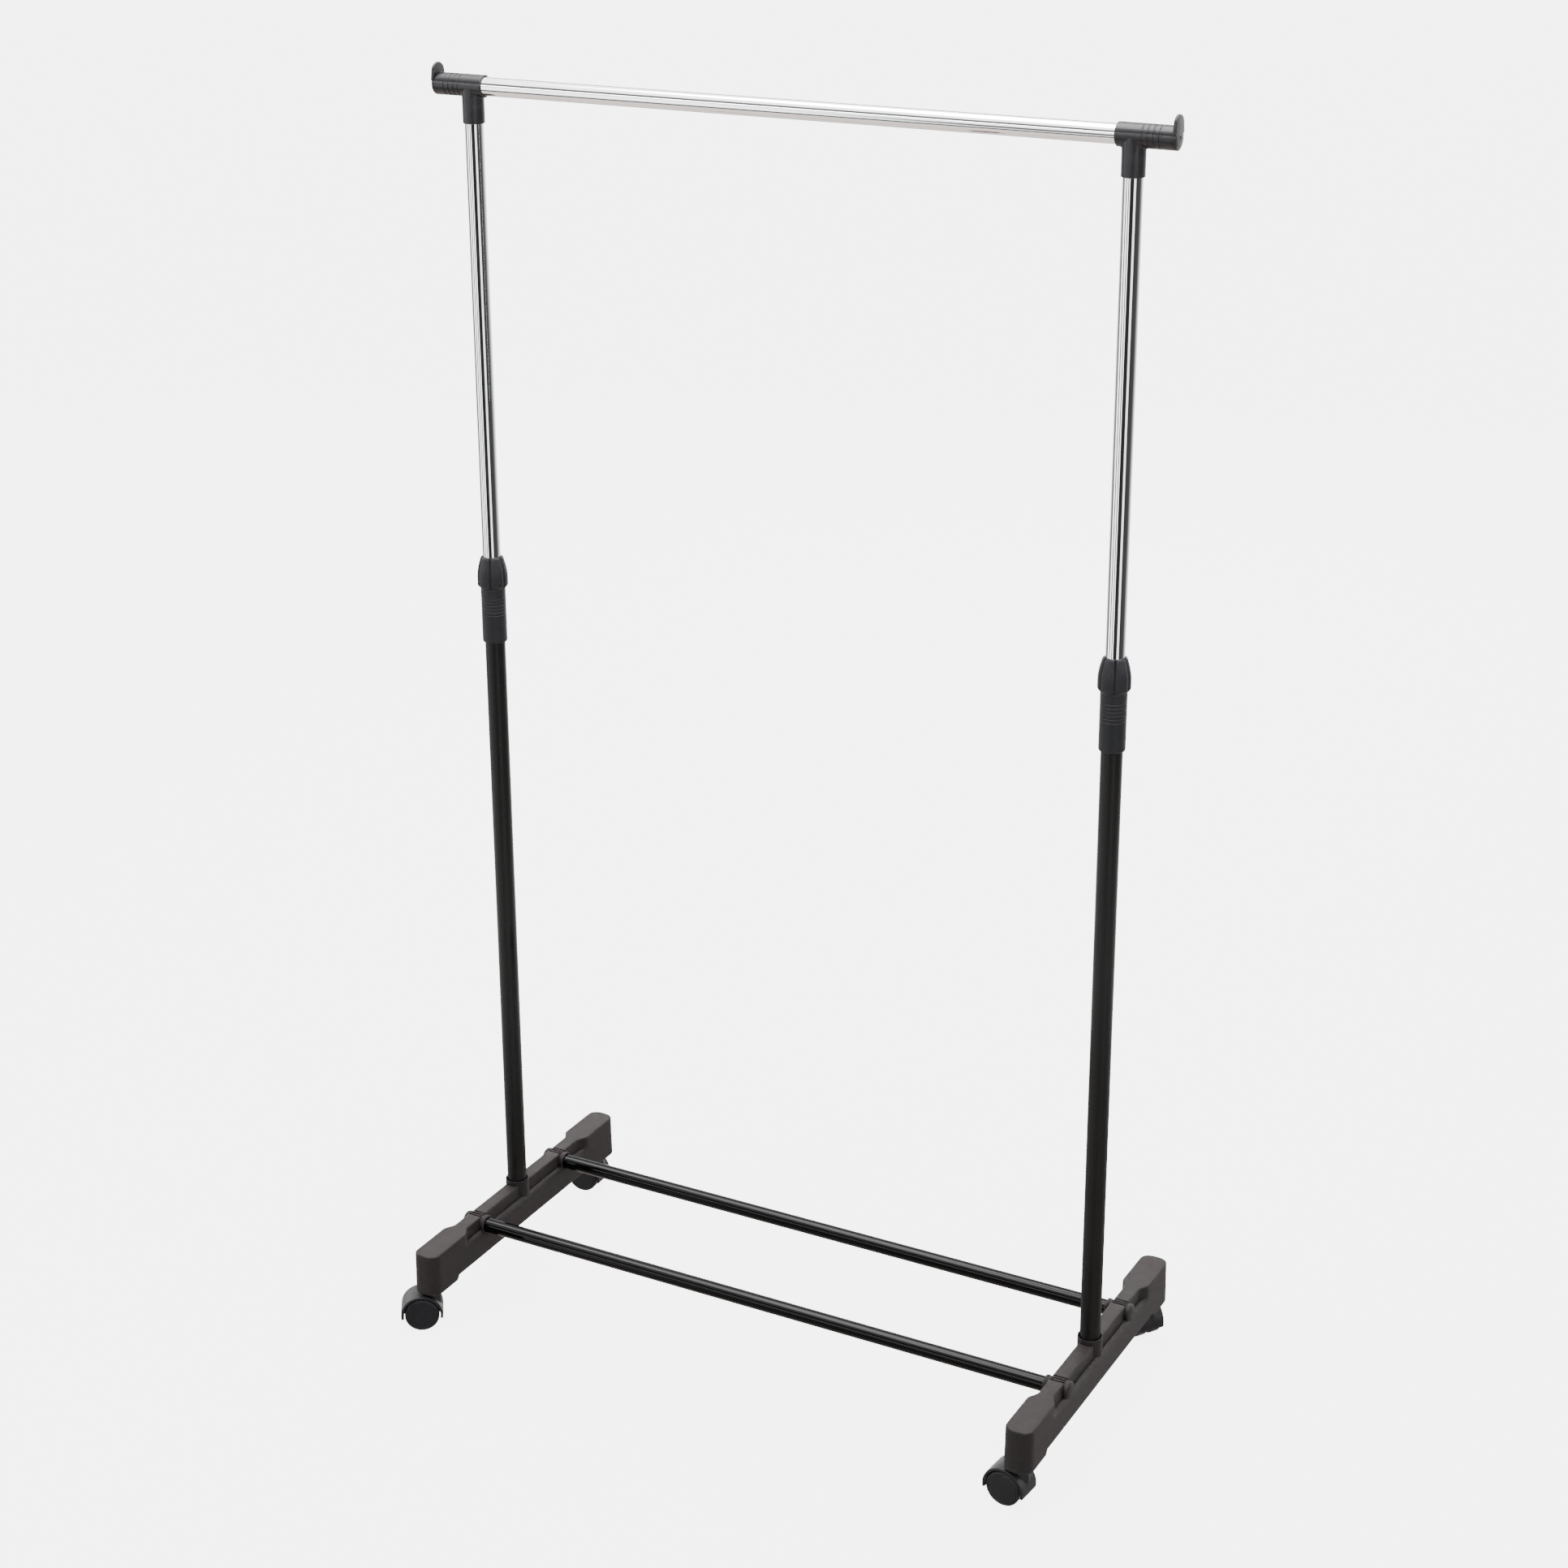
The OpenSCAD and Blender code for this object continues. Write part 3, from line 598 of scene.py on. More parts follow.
def mark_edges(form):
    """Stores how sharply each point sits on an outward edge, for the wear in the materials."""
    unworn, fully_worn = math.radians(8), math.radians(24)
    layer = form.verts.layers.float.new("edge_wear")
    for vert in form.verts:
        sharpest = max((e.calc_face_angle_signed(0.0) for e in vert.link_edges if e.is_manifold),
                       default=0.0)
        vert[layer] = min(1.0, max(0.0, (sharpest - unworn) / (fully_worn - unworn)))


def make_piece(name, form, slot, nodes, crease=40):
    """Turns a form into a finished piece that stands for those nodes and rides with them."""
    mark_edges(form)
    mesh = bpy.data.meshes.new(name)
    form.to_mesh(mesh)
    form.free()
    mesh.polygons.foreach_set("use_smooth", [True] * len(mesh.polygons))
    mesh.set_sharp_from_angle(angle=math.radians(crease))
    mesh.materials.append(make_finish(slot))
    piece = bpy.data.objects.new(name, mesh)
    bpy.context.scene.collection.objects.link(piece)
    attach(piece, body_of(nodes[0]))
    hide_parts(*nodes)


def tube(outer, wall, span, lip=0.25):
    """A tube in millimetres standing on the origin, with softened ends."""
    inner = outer - wall
    return turned([(outer, 0, lip), (outer, span, lip), (inner, span, lip), (inner, 0, lip)], steps=2)


# ---------- pieces ----------

class RackTubes(bpy.types.Operator):
    """Make the hanging rail, the four post tubes and the two bottom rails"""

    bl_idname = "rack.tubes"
    bl_label = "Tubes"

    def execute(self, context):
        wall = sizes().tube_wall / MM
        for side in SIDES:
            for kind, slot in (("upper_post", "chrome_tube"), ("lower_post", "post_paint")):
                node = f"{side}_{kind}"
                size = extent(node)
                form = tube(size.x / 2 / MM, wall, size.z / MM)
                make_piece(f"{node}_tube", moved(form, at(post_x(side), 0, low(node).z)), slot, [node])
        for node, slot in (("top_rail", "chrome_tube"), ("front_bottom_rail", "rail_paint"),
                           ("back_bottom_rail", "rail_paint")):
            size, spot = extent(node), middle(node)
            form = tube(size.y / 2 / MM, wall, size.x / MM)
            form = moved(form, ALONG_X, at(low(node).x, spot.y, spot.z))
            make_piece(f"{node}_tube", form, slot, [node])
        return {"FINISHED"}


def tee_sleeve(reach_in, reach_out, rail_r):
    """The tee's sleeve with its grip grooves, in millimetres, outboard towards +Z before turning."""
    s = sizes()
    outer = rail_r + s.tee_wall / MM
    width, depth = s.tee_groove_width / MM, s.tee_groove_depth / MM
    pitch = s.tee_groove_pitch / MM
    first = 11.6
    corners = [(rail_r + FIT, -reach_in, 0.5), (outer, -reach_in, 0.9)]
    for i in range(s.tee_grooves):
        start = first + i * pitch
        corners += [(outer, start, 0.35), (outer - depth, start + 0.3, 0.25),
                    (outer - depth, start + width - 0.3, 0.25), (outer, start + width, 0.35)]
    corners += [(outer, reach_out, 0.3), (rail_r + FIT, reach_out, 0.3)]
    return turned(corners, steps=3)


def tee_branch(drop, rail_r, post_r):
    """The tee's branch, flared where it runs into the sleeve."""
    wall = sizes().tee_wall / MM
    outer, sleeve = post_r + wall, rail_r + wall
    flare = 3.2
    form = bmesh.new()
    bmesh.ops.create_circle(form, cap_ends=False, radius=outer * MM, segments=TUBE_SEGMENTS)
    angle = keep_bearings(form)

    def place(verts, radius, height, reach=0.0):
        """A ring at that height, or one that lies along the sleeve where reach is above zero."""
        for vert in verts:
            across, along = math.sin(vert[angle]), math.cos(vert[angle])
            y = radius * across
            z = height
            if reach > 0:
                seat = -math.sqrt(max(0.0, (sleeve - 0.25) ** 2 - y * y))
                drop_here = flare * abs(along) * (1 - reach)
                z = seat - drop_here
            widen = flare * along * (1 - math.sqrt(max(0.0, 1 - reach * reach))) if reach > 0 else 0.0
            vert.co = Vector(((radius * along + widen) * MM, y * MM, z * MM))

    lip = 0.8
    levels = [(post_r + FIT, -drop + 0.5), (post_r + 0.5, -drop)]
    levels += [(outer - lip + lip * math.sin(a), -drop + lip - lip * math.cos(a))
               for a in (0, math.pi / 6, math.pi / 3, math.pi / 2)]
    levels += [(outer, -drop * 0.55)]
    levels += [(outer, 0, reach) for reach in (0.02, 0.35, 0.6, 0.8, 0.92, 1.0)]
    rim = list(form.edges)
    place(form.verts, post_r + FIT, -drop + 6)
    for level in levels:
        verts, rim = drawn_out(form, rim)
        place(verts, *level)
    bmesh.ops.recalc_face_normals(form, faces=form.faces)
    return form


class RackTees(bpy.types.Operator):
    """Make the two tee fittings that join the hanging rail to the posts"""

    bl_idname = "rack.tees"
    bl_label = "Tee Fittings"

    def execute(self, context):
        rail_r = extent("top_rail").z / 2 / MM
        for side, sign in SIDES.items():
            node = f"{side}_tee"
            x = post_x(side)
            outboard = high(node).x - x if sign > 0 else x - low(node).x
            inboard = extent(node).x - outboard
            drop = rail_height() - low(node).z
            sleeve = moved(tee_sleeve(inboard / MM, outboard / MM, rail_r), ALONG_X)
            form = joined(sleeve, tee_branch(drop / MM, rail_r, rail_r))
            if sign < 0:
                form = mirrored_x(form)
            make_piece(f"{side}_tee_fitting", moved(form, at(x, 0, rail_height())),
                       "fitting_plastic", [node])
        return {"FINISHED"}


def cap_disc(radius, thickness):
    """Domed end disc with a small dimple, its face towards +Z."""
    spigot_r, spigot = 9.9, 6
    crown = thickness + CAP_DOME
    corners = [(0, -spigot, 0), (spigot_r, -spigot, 0.3), (spigot_r, 0, 0), (radius, 0, 0.35),
               (radius, thickness - 0.4, 1.4), (radius * 0.7, thickness + CAP_DOME * 0.62, 12),
               (2.4, thickness + CAP_DOME * 0.98, 0.3), (1.5, crown - 0.8, 0.5), (0, crown - 0.9, 0)]
    return turned(corners, closed=False, steps=5)


def cap_stop(rise, foot, width, thickness):
    """The upright hook stop: a plate with a round head, softened all round, thickness along X."""
    head = width / 2 - 1.6
    form = bmesh.new()
    outline = [Vector((0, -width / 2, foot))]
    for k in range(17):
        a = math.radians(180 - 180 * k / 16)
        outline.append(Vector((0, head * math.cos(a), rise - head + head * math.sin(a))))
    outline.append(Vector((0, width / 2, foot)))
    face = form.faces.new([form.verts.new(p * MM) for p in outline])
    grown = bmesh.ops.extrude_face_region(form, geom=[face])["geom"]
    bmesh.ops.translate(form, vec=(thickness * MM, 0, 0),
                        verts=[g for g in grown if isinstance(g, bmesh.types.BMVert)])
    bmesh.ops.recalc_face_normals(form, faces=form.faces)
    rims = [e for e in form.edges if e.calc_face_angle(0) > math.radians(60)]
    bmesh.ops.bevel(form, geom=rims, offset=1.3 * MM, segments=4, profile=0.5, affect="EDGES",
                    material=-1, clamp_overlap=True)
    return form


class RackCaps(bpy.types.Operator):
    """Make the two end caps with their upright hook stops"""

    bl_idname = "rack.caps"
    bl_label = "End Caps"

    def execute(self, context):
        for side, sign in SIDES.items():
            node = f"{side}_rail_cap"
            size = extent(node)
            seat = abs(high(f"{side}_tee").x if sign > 0 else low(f"{side}_tee").x)
            face = abs(high(node).x if sign > 0 else low(node).x) - seat
            radius = size.y / 2 / MM
            rise = (high(node).z - rail_height()) / MM
            disc = moved(cap_disc(radius - 0.6, face / MM - CAP_DOME), ALONG_X)
            stop = cap_stop(rise=rise - 2.5, foot=4, width=2 * radius - 1,
                            thickness=sizes().stop_thickness / MM)
            form = joined(disc, stop)
            if sign < 0:
                form = mirrored_x(form)
            make_piece(f"{side}_end_cap", moved(form, at(sign * seat, 0, rail_height())),
                       "cap_plastic", [node])
        return {"FINISHED"}


def nut_radius(height, tall, widest, top):
    """Radius of the nut's petals at a height: chamfered foot, straight belly, tulip shoulder."""
    chamfer, belly = 3.4, 11.0
    if height < chamfer:
        return widest - 2.3 * (1 - height / chamfer) ** 1.3
    if height < belly:
        return widest
    u = min(1.0, (height - belly) / (tall - belly))
    return widest - (widest - top) * (1 - math.cos(u * math.pi / 2)) ** 1.05


def lock_nut(tall, widest, post_r, mouth_r, first_valley):
    """A fluted nut, closed all round: petals outside, bell and bore inside."""
    s = sizes()
    top = post_r + 2.6
    per_petal = FULL_TURN / s.petal_count
    valley = s.petal_valley / MM
    form = bmesh.new()
    bmesh.ops.create_circle(form, cap_ends=False, radius=widest * MM, segments=s.petal_count * 28)
    angle = keep_bearings(form)

    def place(verts, radius, height, fluted):
        for vert in verts:
            away = abs((vert[angle] - first_valley + per_petal / 2) % per_petal - per_petal / 2)
            across = away / (per_petal / 2)
            dip = max(0.0, 1 - across / 0.34) ** 1.6
            crown = 0.35 * (1 - across) ** 2
            r = radius - fluted * (valley * dip + crown)
            tuck = fluted * 1.5 * dip * ((height / tall - 0.5) * 2) ** 5
            vert.co = Vector((r * math.cos(vert[angle]), r * math.sin(vert[angle]), height - tuck)) * MM

    levels = [(mouth_r, 0.6, 0), (mouth_r + 0.5, 0, 0)]
    levels += [(nut_radius(0, tall, widest, top) - 0.6, 0, 0.6)]
    heights = [0.35, 0.9, 1.6, 2.4, 3.2, 3.9, 5, 7, 9, 11]
    heights += [11 + (tall - 12.2) * k / 12 for k in range(1, 13)]
    levels += [(nut_radius(h, tall, widest, top), h, 1) for h in heights]
    levels += [(top - 0.25, tall - 0.55, 0.9), (top - 0.7, tall - 0.12, 0.7), (top - 1.2, tall, 0.35)]
    levels += [(post_r + 0.9, tall, 0), (post_r + 0.5, tall - 0.4, 0), (post_r + 0.4, tall - 5, 0)]
    levels += [(mouth_r, tall - 20, 0)]
    place(form.verts, *levels[0])
    rim = list(form.edges)
    for level in levels[1:] + levels[:1]:
        verts, rim = drawn_out(form, rim)
        place(verts, *level)
    bmesh.ops.remove_doubles(form, verts=form.verts, dist=WELD * MM)
    bmesh.ops.recalc_face_normals(form, faces=form.faces)
    return form


def lock_sleeve(span, outer, post_r):
    """The plain sleeve under the nut, with fine rings and a rounded foot, its top at 0."""
    s = sizes()
    corners = [(post_r + FIT, -span, 0.4), (outer - 0.5, -span, 0.8), (outer, -span + 1.8, 1.2)]
    pitch = s.sleeve_ring_pitch / MM
    for i in reversed(range(s.sleeve_rings)):
        z = -12 - i * pitch
        corners += [(outer - 0.05, z - 0.75, 0.2), (outer - 0.5, z - 0.35, 0.15),
                    (outer - 0.5, z + 0.1, 0.15), (outer - 0.05, z + 0.5, 0.2)]
    corners += [(outer, -1.6, 0.3), (outer - 0.4, -0.6, 0.2), (outer - 0.4, 0, 0),
                (post_r + FIT, 0, 0)]
    return turned(corners, steps=3)


class RackLocks(bpy.types.Operator):
    """Make the two twist locks: fluted nut and ringed sleeve"""

    bl_idname = "rack.locks"
    bl_label = "Twist Locks"

    def execute(self, context):
        first_valley = math.radians(-66)
        for side in SIDES:
            nut, sleeve, post = f"{side}_lock_nut", f"{side}_lock_sleeve", f"{side}_lower_post"
            x = post_x(side)
            foot = low(nut).z
            widest = extent(nut).y / 2 / MM
            post_r = extent(f"{side}_upper_post").x / 2 / MM
            lower_r = extent(post).x / 2 / MM
            form = lock_nut(extent(nut).z / MM, widest, post_r, lower_r + 1.9, first_valley)
            make_piece(f"{side}_fluted_nut", moved(form, at(x, 0, foot)), "lock_plastic", [nut])
            outer = extent(sleeve).x / 2 / MM
            body = lock_sleeve((foot - low(sleeve).z) / MM - 0.4, outer, lower_r)
            neck_top = (high(sleeve).z - foot) / MM
            neck = tube(lower_r + 1.5, 1.3, neck_top + 1)
            form = joined(moved(body, at(0, 0, -0.4 * MM)), moved(neck, at(0, 0, -1 * MM)))
            make_piece(f"{side}_ringed_sleeve", moved(form, at(x, 0, foot)), "lock_plastic", [sleeve])
        return {"FINISHED"}


# ---------- feet ----------

class FootPlan:
    """Where the skin of a foot lies. All in millimetres, about the foot's own middle."""

    def __init__(self, side):
        s = sizes()
        node = f"{side}_foot"
        size = extent(node)
        self.half_w = size.x / 2 / MM
        self.half_l = size.y / 2 / MM
        self.clear = low(node).z / MM
        self.brace_y = middle("back_bottom_rail").y / MM
        self.brace_z = middle("back_bottom_rail").z / MM
        self.top = self.clear + FOOT_HEIGHT
        self.rim = high(node).z / MM
        self.beam = self.top - BEAM_DEPTH
        self.ledge = self.top - s.spine_height / MM
        self.wall = s.foot_wall / MM
        self.draft = s.foot_draft / MM
        self.spine_half = s.spine_width / 2 / MM
        self.round = s.foot_round / MM
        self.block = s.block_length / MM
        self.bend = 18.0
        self.pad = 53.0
        self.end_depth, self.end_square, self.end_turn = 15.0, 0.8, math.radians(75)
        self.groove_pitch, self.groove_w = 4.6, 2.3
        self.groove_cut = s.foot_groove / MM
        self.rows = self.make_rows()

    def make_rows(self):
        """Stations from the middle to one end: (distance, share of the round end)."""
        ys = [0, 18, 36, 56, 74]
        for k in (-1, 0, 1):
            middle_y = self.brace_y + k * self.groove_pitch
            for edge in (-1, 1):
                side = middle_y + edge * self.groove_w / 2
                ys += [side - 0.2, side + 0.2]
        start = self.half_l - self.block - self.bend
        ys += [start + self.bend * k / 14 for k in range(15)]
        pad = self.half_l - self.pad
        ys += [pad - 2, pad, pad + 2, pad + 4, pad + 6]
        round_start = self.half_l - self.end_depth
        ys += [pad + 6 + (round_start - pad - 6) * k / 6 for k in range(1, 6)]
        ys = sorted(set(round(y, 3) for y in ys if y < round_start - 0.5))
        return [(y, 0.0) for y in ys] + [(round_start, k / 10) for k in range(11)]

    def narrow(self, y):
        """1 along the spine, 0 along the blocks, with an S-curve between."""
        start = self.half_l - self.block - self.bend
        u = min(1.0, max(0.0, (abs(y) - start) / self.bend))
        return (1 + math.cos(math.pi * u)) / 2

    def groove(self, y):
        """How deep the grip grooves over a rail boss are at y."""
        for k in (-1, 0, 1):
            if abs(abs(y) - self.brace_y - k * self.groove_pitch) < self.groove_w / 2:
                return self.groove_cut
        return 0.0

    def bottom(self, y):
        """Height of the lower edge: the pads under the end blocks reach lower than the beam."""
        u = min(1.0, max(0.0, (abs(y) - (self.half_l - self.pad)) / 4))
        return self.beam + (self.clear - self.beam) * u * u * (3 - 2 * u)

    def point(self, u, row, inset, spine):
        """Plan position at u across (-1 to 1) and signed row, set in, with the spine's share."""
        index = abs(row)
        sign = -1 if row < 0 else 1
        y, t = self.rows[index]
        wide = self.half_w - inset
        if t == 0.0:
            slim = self.spine_half - inset
            half = wide + (slim - wide) * self.narrow(y) * spine
            return u * half, sign * y
        depth = self.end_depth - inset
        half = wide * math.cos(t * self.end_turn) ** self.end_square
        rim = depth * math.sin(t * self.end_turn) ** self.end_square
        bow = math.acos((abs(u) * half / wide) ** (1 / self.end_square))
        return u * half, sign * (y + rim + t * (depth * math.sin(bow) ** self.end_square - rim))


def foot_skin(plan):
    """The foot's moulded shell: top plate, sides, lip and the hollow underneath, closed."""
    across = [-1, -0.82, -0.5, 0, 0.5, 0.82, 1]
    last = len(plan.rows) - 1

    def plate():
        """A grid laid out as the foot's top, with each point's place in the plan kept."""
        form = bmesh.new()
        bmesh.ops.create_grid(form, x_segments=len(across) - 1, y_segments=2 * last, size=1)
        u_layer = form.verts.layers.float.new("u")
        row_layer = form.verts.layers.int.new("row")
        for vert in form.verts:
            column = round((vert.co.x + 1) / 2 * (len(across) - 1))
            vert[u_layer] = across[column]
            vert[row_layer] = round((vert.co.y + 1) / 2 * 2 * last) - last
        return form, u_layer, row_layer

    def skin(form, u_layer, row_layer, levels):
        """Lays the plate at the first level and draws its rim down through the others.

        A level is (inset, height, share of the spine's outline, whether the height is from the lower
        edge, share of the grip grooves, dip along the spine).
        """

        def place(verts, level):
            inset, height, spine, from_bottom, cut, dip = level
            for vert in verts:
                x, y = plan.point(vert[u_layer], vert[row_layer], inset, spine)
                z = plan.bottom(y) + height if from_bottom else height
                sunk = cut * plan.groove(y) + dip * plan.narrow(y)
                vert.co = Vector((x, y, z - sunk)) * MM

        place(form.verts, levels[0])
        rim = [e for e in form.edges if e.is_boundary]
        for level in levels[1:]:
            verts, rim = drawn_out(form, rim)
            place(verts, level)
        return form

    d, r, w = plan.draft, plan.round, plan.wall
    ledge, top = plan.ledge, plan.top

    def drafted(z):
        return d * (z - plan.clear) / (top - plan.clear)

    outer = [(d + r, top, 1, False, 1, 0)]
    for a in (20, 40, 60, 80):
        lean = math.radians(a)
        outer.append((d + r * (1 - math.sin(lean)), top - r * (1 - math.cos(lean)), 1, False, 1, 0))
    outer += [(drafted(z), z, 1, False, 0, 0) for z in (top - 4.5, ledge + 6)]
    shoulder = ((2.2, 0.995, 0), (0.9, 0.985, 1.4), (0.6, 0.95, 1.9), (0.3, 0.88, 0.7),
                (0, 0.78, 0), (-0.4, 0.6, 0), (-1.1, 0.42, 0), (-2.3, 0.25, 0), (-4.0, 0.11, 0),
                (-6.2, 0.03, 0), (-8.5, 0, 0))
    outer += [(drafted(ledge), ledge + rise, share, False, 0, dip) for rise, share, dip in shoulder]
    outer += [(drafted(ledge - 14), ledge - 14, 0, False, 0, 0), (0.05, 3.5, 0, True, 0, 0),
              (0.05, 0.7, 0, True, 0, 0), (0.25, 0.25, 0, True, 0, 0), (0.7, 0, 0, True, 0, 0)]
    outer += [(w - 0.4, 0, 0, True, 0, 0), (w, 0.5, 0, True, 0, 0)]
    inner = [(w + 1.5, top - w, 1, False, 0, 0), (w + d, top - w - 1.5, 1, False, 0, 0),
             (w + d, ledge - w - 1, 1, False, 0, 0), (w + 0.6, ledge - w - 6, 0, False, 0, 0),
             (w + 0.2, ledge - 16, 0, False, 0, 0), (w, 4, 0, True, 0, 0), (w, 0.5, 0, True, 0, 0)]
    shell = joined(skin(*plate(), outer), skin(*plate(), inner))
    bmesh.ops.remove_doubles(shell, verts=shell.verts, dist=0.002 * MM)
    bmesh.ops.recalc_face_normals(shell, faces=shell.faces)
    return shell


def foot_ribs(plan):
    """Cross ribs inside the hollow."""
    forms = []
    half = plan.half_w - plan.wall + 0.3
    thick, tall = 2.2, plan.ledge - plan.beam - 3
    for y in (plan.brace_y * 0.5, plan.brace_y * 1.55):
        for sign in (-1, 1):
            rib = bmesh.new()
            bmesh.ops.create_cube(rib, size=1)
            bmesh.ops.scale(rib, vec=(2 * half * MM, thick * MM, tall * MM), verts=rib.verts)
            bmesh.ops.bevel(rib, geom=list(rib.edges), offset=0.3 * MM, segments=2, profile=0.5,
                            affect="EDGES", material=-1)
            forms.append(moved(rib, at(0, sign * y * MM, (plan.beam + 1.5 + tall / 2) * MM)))
    return forms


def post_socket(plan, post_r, seat, bolt_r):
    """The ring round the post, running down through the foot to the bolt's seat."""
    outer, gap = post_r + 2.8, 1.5
    corners = [(post_r + gap, plan.rim - 7, 0.2), (post_r + gap, plan.rim, 0.35),
               (outer - 0.2, plan.rim, 0.9), (outer, plan.ledge - 2, 0), (outer - 0.4, seat, 0.4),
               (bolt_r + 0.2, seat, 0.2), (bolt_r + 0.2, seat + 4, 0), (post_r + FIT, seat + 4, 0),
               (post_r + FIT, plan.rim - 7, 0)]
    return turned(corners, steps=4)


def rail_boss(plan, rail_r):
    """Boss that carries a bottom rail's end: ferrule inboard (-Z), rounded bulge outboard (+Z)."""
    radius = rail_r + 2.5
    inner, outer = -plan.half_w + 1.9, plan.half_w - 1.5
    buried = rail_r + 0.9
    corners = [(0, inner + 12, 0), (rail_r + FIT, inner + 12, 0), (rail_r + FIT, inner + 3, 0),
               (rail_r + 0.45, inner + 2.4, 0.1), (rail_r + 0.45, inner, 0.3),
               (radius + 0.1, inner, 0.9), (radius + 0.1, inner + 3.2, 0.6),
               (radius - 0.6, inner + 3.9, 0.4), (radius - 0.5, -9.6, 0.3), (buried, -9.2, 0),
               (buried, 9.2, 0), (radius - 0.2, 9.6, 0.3), (radius, outer - 4.6, 2),
               (radius - 0.6, outer - 1.3, 2.4), (radius * 0.5, outer, 5), (0, outer, 0)]
    return turned(corners, closed=False, segments=72, steps=5)


def caster_boss(plan):
    """Boss inside an end block that holds a caster's socket."""
    inner, outer = 6.55, 10
    foot, head = plan.clear + 0.2, plan.top - plan.wall
    corners = [(inner, foot, 0.3), (outer, foot, 0.6), (outer, head, 0), (inner, head, 0)]
    return turned(corners, segments=48, steps=2)


class RackFeet(bpy.types.Operator):
    """Make the two moulded feet"""

    bl_idname = "rack.feet"
    bl_label = "Feet"

    def execute(self, context):
        for side, sign in SIDES.items():
            node = f"{side}_foot"
            plan = FootPlan(side)
            post_r = extent(f"{side}_lower_post").x / 2 / MM
            rail_r = extent("back_bottom_rail").z / 2 / MM
            seat = low(f"{side}_post_plug").z / MM - 4
            swivel_y = abs(joint("front_left_swivel")["pos_m"][1])
            forms = [foot_skin(plan), post_socket(plan, post_r, seat, bolt_r=3), *foot_ribs(plan)]
            for end in (-1, 1):
                boss = moved(rail_boss(plan, rail_r), ALONG_X)
                forms.append(moved(boss, at(0, end * plan.brace_y * MM, plan.brace_z * MM)))
                forms.append(moved(caster_boss(plan), at(0, end * swivel_y, 0)))
            form = joined(*forms)
            if sign < 0:
                form = mirrored_x(form)
            make_piece(f"{side}_moulded_foot", moved(form, at(post_x(side))), "foot_plastic", [node],
                       crease=50)
        return {"FINISHED"}


# ---------- casters ----------

def caster_frame(corner):
    """Matrix from a caster's own frame, trail towards +X and swivel at the origin, to the rack's."""
    swivel = Vector(joint(f"{corner}_swivel")["pos_m"])
    axle = Vector(joint(f"{corner}_outer_roll")["pos_m"])
    aim = math.atan2(axle.y - swivel.y, axle.x - swivel.x)
    trail = math.hypot(axle.y - swivel.y, axle.x - swivel.x)
    return at(swivel.x, swivel.y, 0) @ Matrix.Rotation(aim, 4, "Z"), trail / MM, axle.z / MM


def caster_hood(trail, axle_z, wheel_r, half_w, neck_top):
    """Hood over both wheels, the web between them and the neck under the stem."""
    wall = sizes().hood_wall / MM
    bore = wheel_r + 1.6
    outer = bore + wall
    dip = math.asin(5 / outer)
    hole, web = 2.6, 2.5
    corners = [(hole, -web, 0.2), (bore, -web, 0.8), (bore, -half_w, 0.4), (outer - 0.2, -half_w, 1.1),
               (outer, 0, 0), (outer - 0.2, half_w, 1.1), (bore, half_w, 0.4), (bore, web, 0.8),
               (hole, web, 0.2)]
    shell = turned(corners, segments=60, steps=3, angle=math.pi + 2 * dip)
    to_axle = Matrix.Rotation(math.radians(90), 4, "X")
    shell = moved(shell, Matrix.Rotation(-dip, 4, "Z"), to_axle, at(trail * MM, 0, axle_z * MM))
    hub_r, hub = 6, 3.1
    boss = turned([(hole, -hub, 0.2), (hub_r, -hub, 0.5), (hub_r, hub, 0.5), (hole, hub, 0.2)],
                  segments=40, steps=2)
    boss = moved(boss, to_axle, at(trail * MM, 0, axle_z * MM))
    neck = bmesh.new()
    bmesh.ops.create_circle(neck, cap_ends=True, radius=9 * MM, segments=48)
    angle = keep_bearings(neck)
    middle_r = (bore + outer) / 2

    def place(verts, radius, height):
        for vert in verts:
            x, y = radius * math.cos(vert[angle]), radius * math.sin(vert[angle])
            seat = axle_z + math.sqrt(max(4.0, middle_r ** 2 - (x - trail) ** 2))
            vert.co = Vector((x, y, max(seat, height) if height > 0 else seat)) * MM

    place(neck.verts, 8.4, neck_top)
    rim = [e for e in neck.edges if e.is_boundary]
    profile = [(8.8, 0.15), (9, 0.5), (9, 2.0), (8.6, 2.3), (8.6, 3.2), (9.4, 4.4)]
    for radius, height in [(r, neck_top - down) for r, down in profile] + [(10.4, 0)]:
        verts, rim = drawn_out(neck, rim)
        place(verts, radius, height)
    bmesh.ops.holes_fill(neck, edges=rim)
    bmesh.ops.recalc_face_normals(neck, faces=neck.faces)
    return joined(shell, boss, neck)


def caster_wheel(wheel_r):
    """One wheel of a twin caster: rounded tread, hub disc set in a fine ring, its face towards +Z."""
    face = WHEEL_WIDTH
    disc = wheel_r - 3.6
    bore = AXLE_RADIUS + 0.05
    corners = [(bore, 0, 0.2), (wheel_r - 6, 0, 0.3), (wheel_r - 5.5, 0.6, 0.3),
               (wheel_r, 0.6, 0.9), (wheel_r, face - 0.4, 2.2), (disc + 0.7, face, 0.4),
               (disc + 0.5, face - 0.7, 0.15), (disc, face - 0.7, 0.15),
               (disc - 0.3, face - 0.15, 0.4), (disc * 0.55, face - 0.02, 6), (0, face - 0.02, 0),
               (0, face - 1.8, 0), (bore, face - 1.8, 0)]
    return turned(corners)


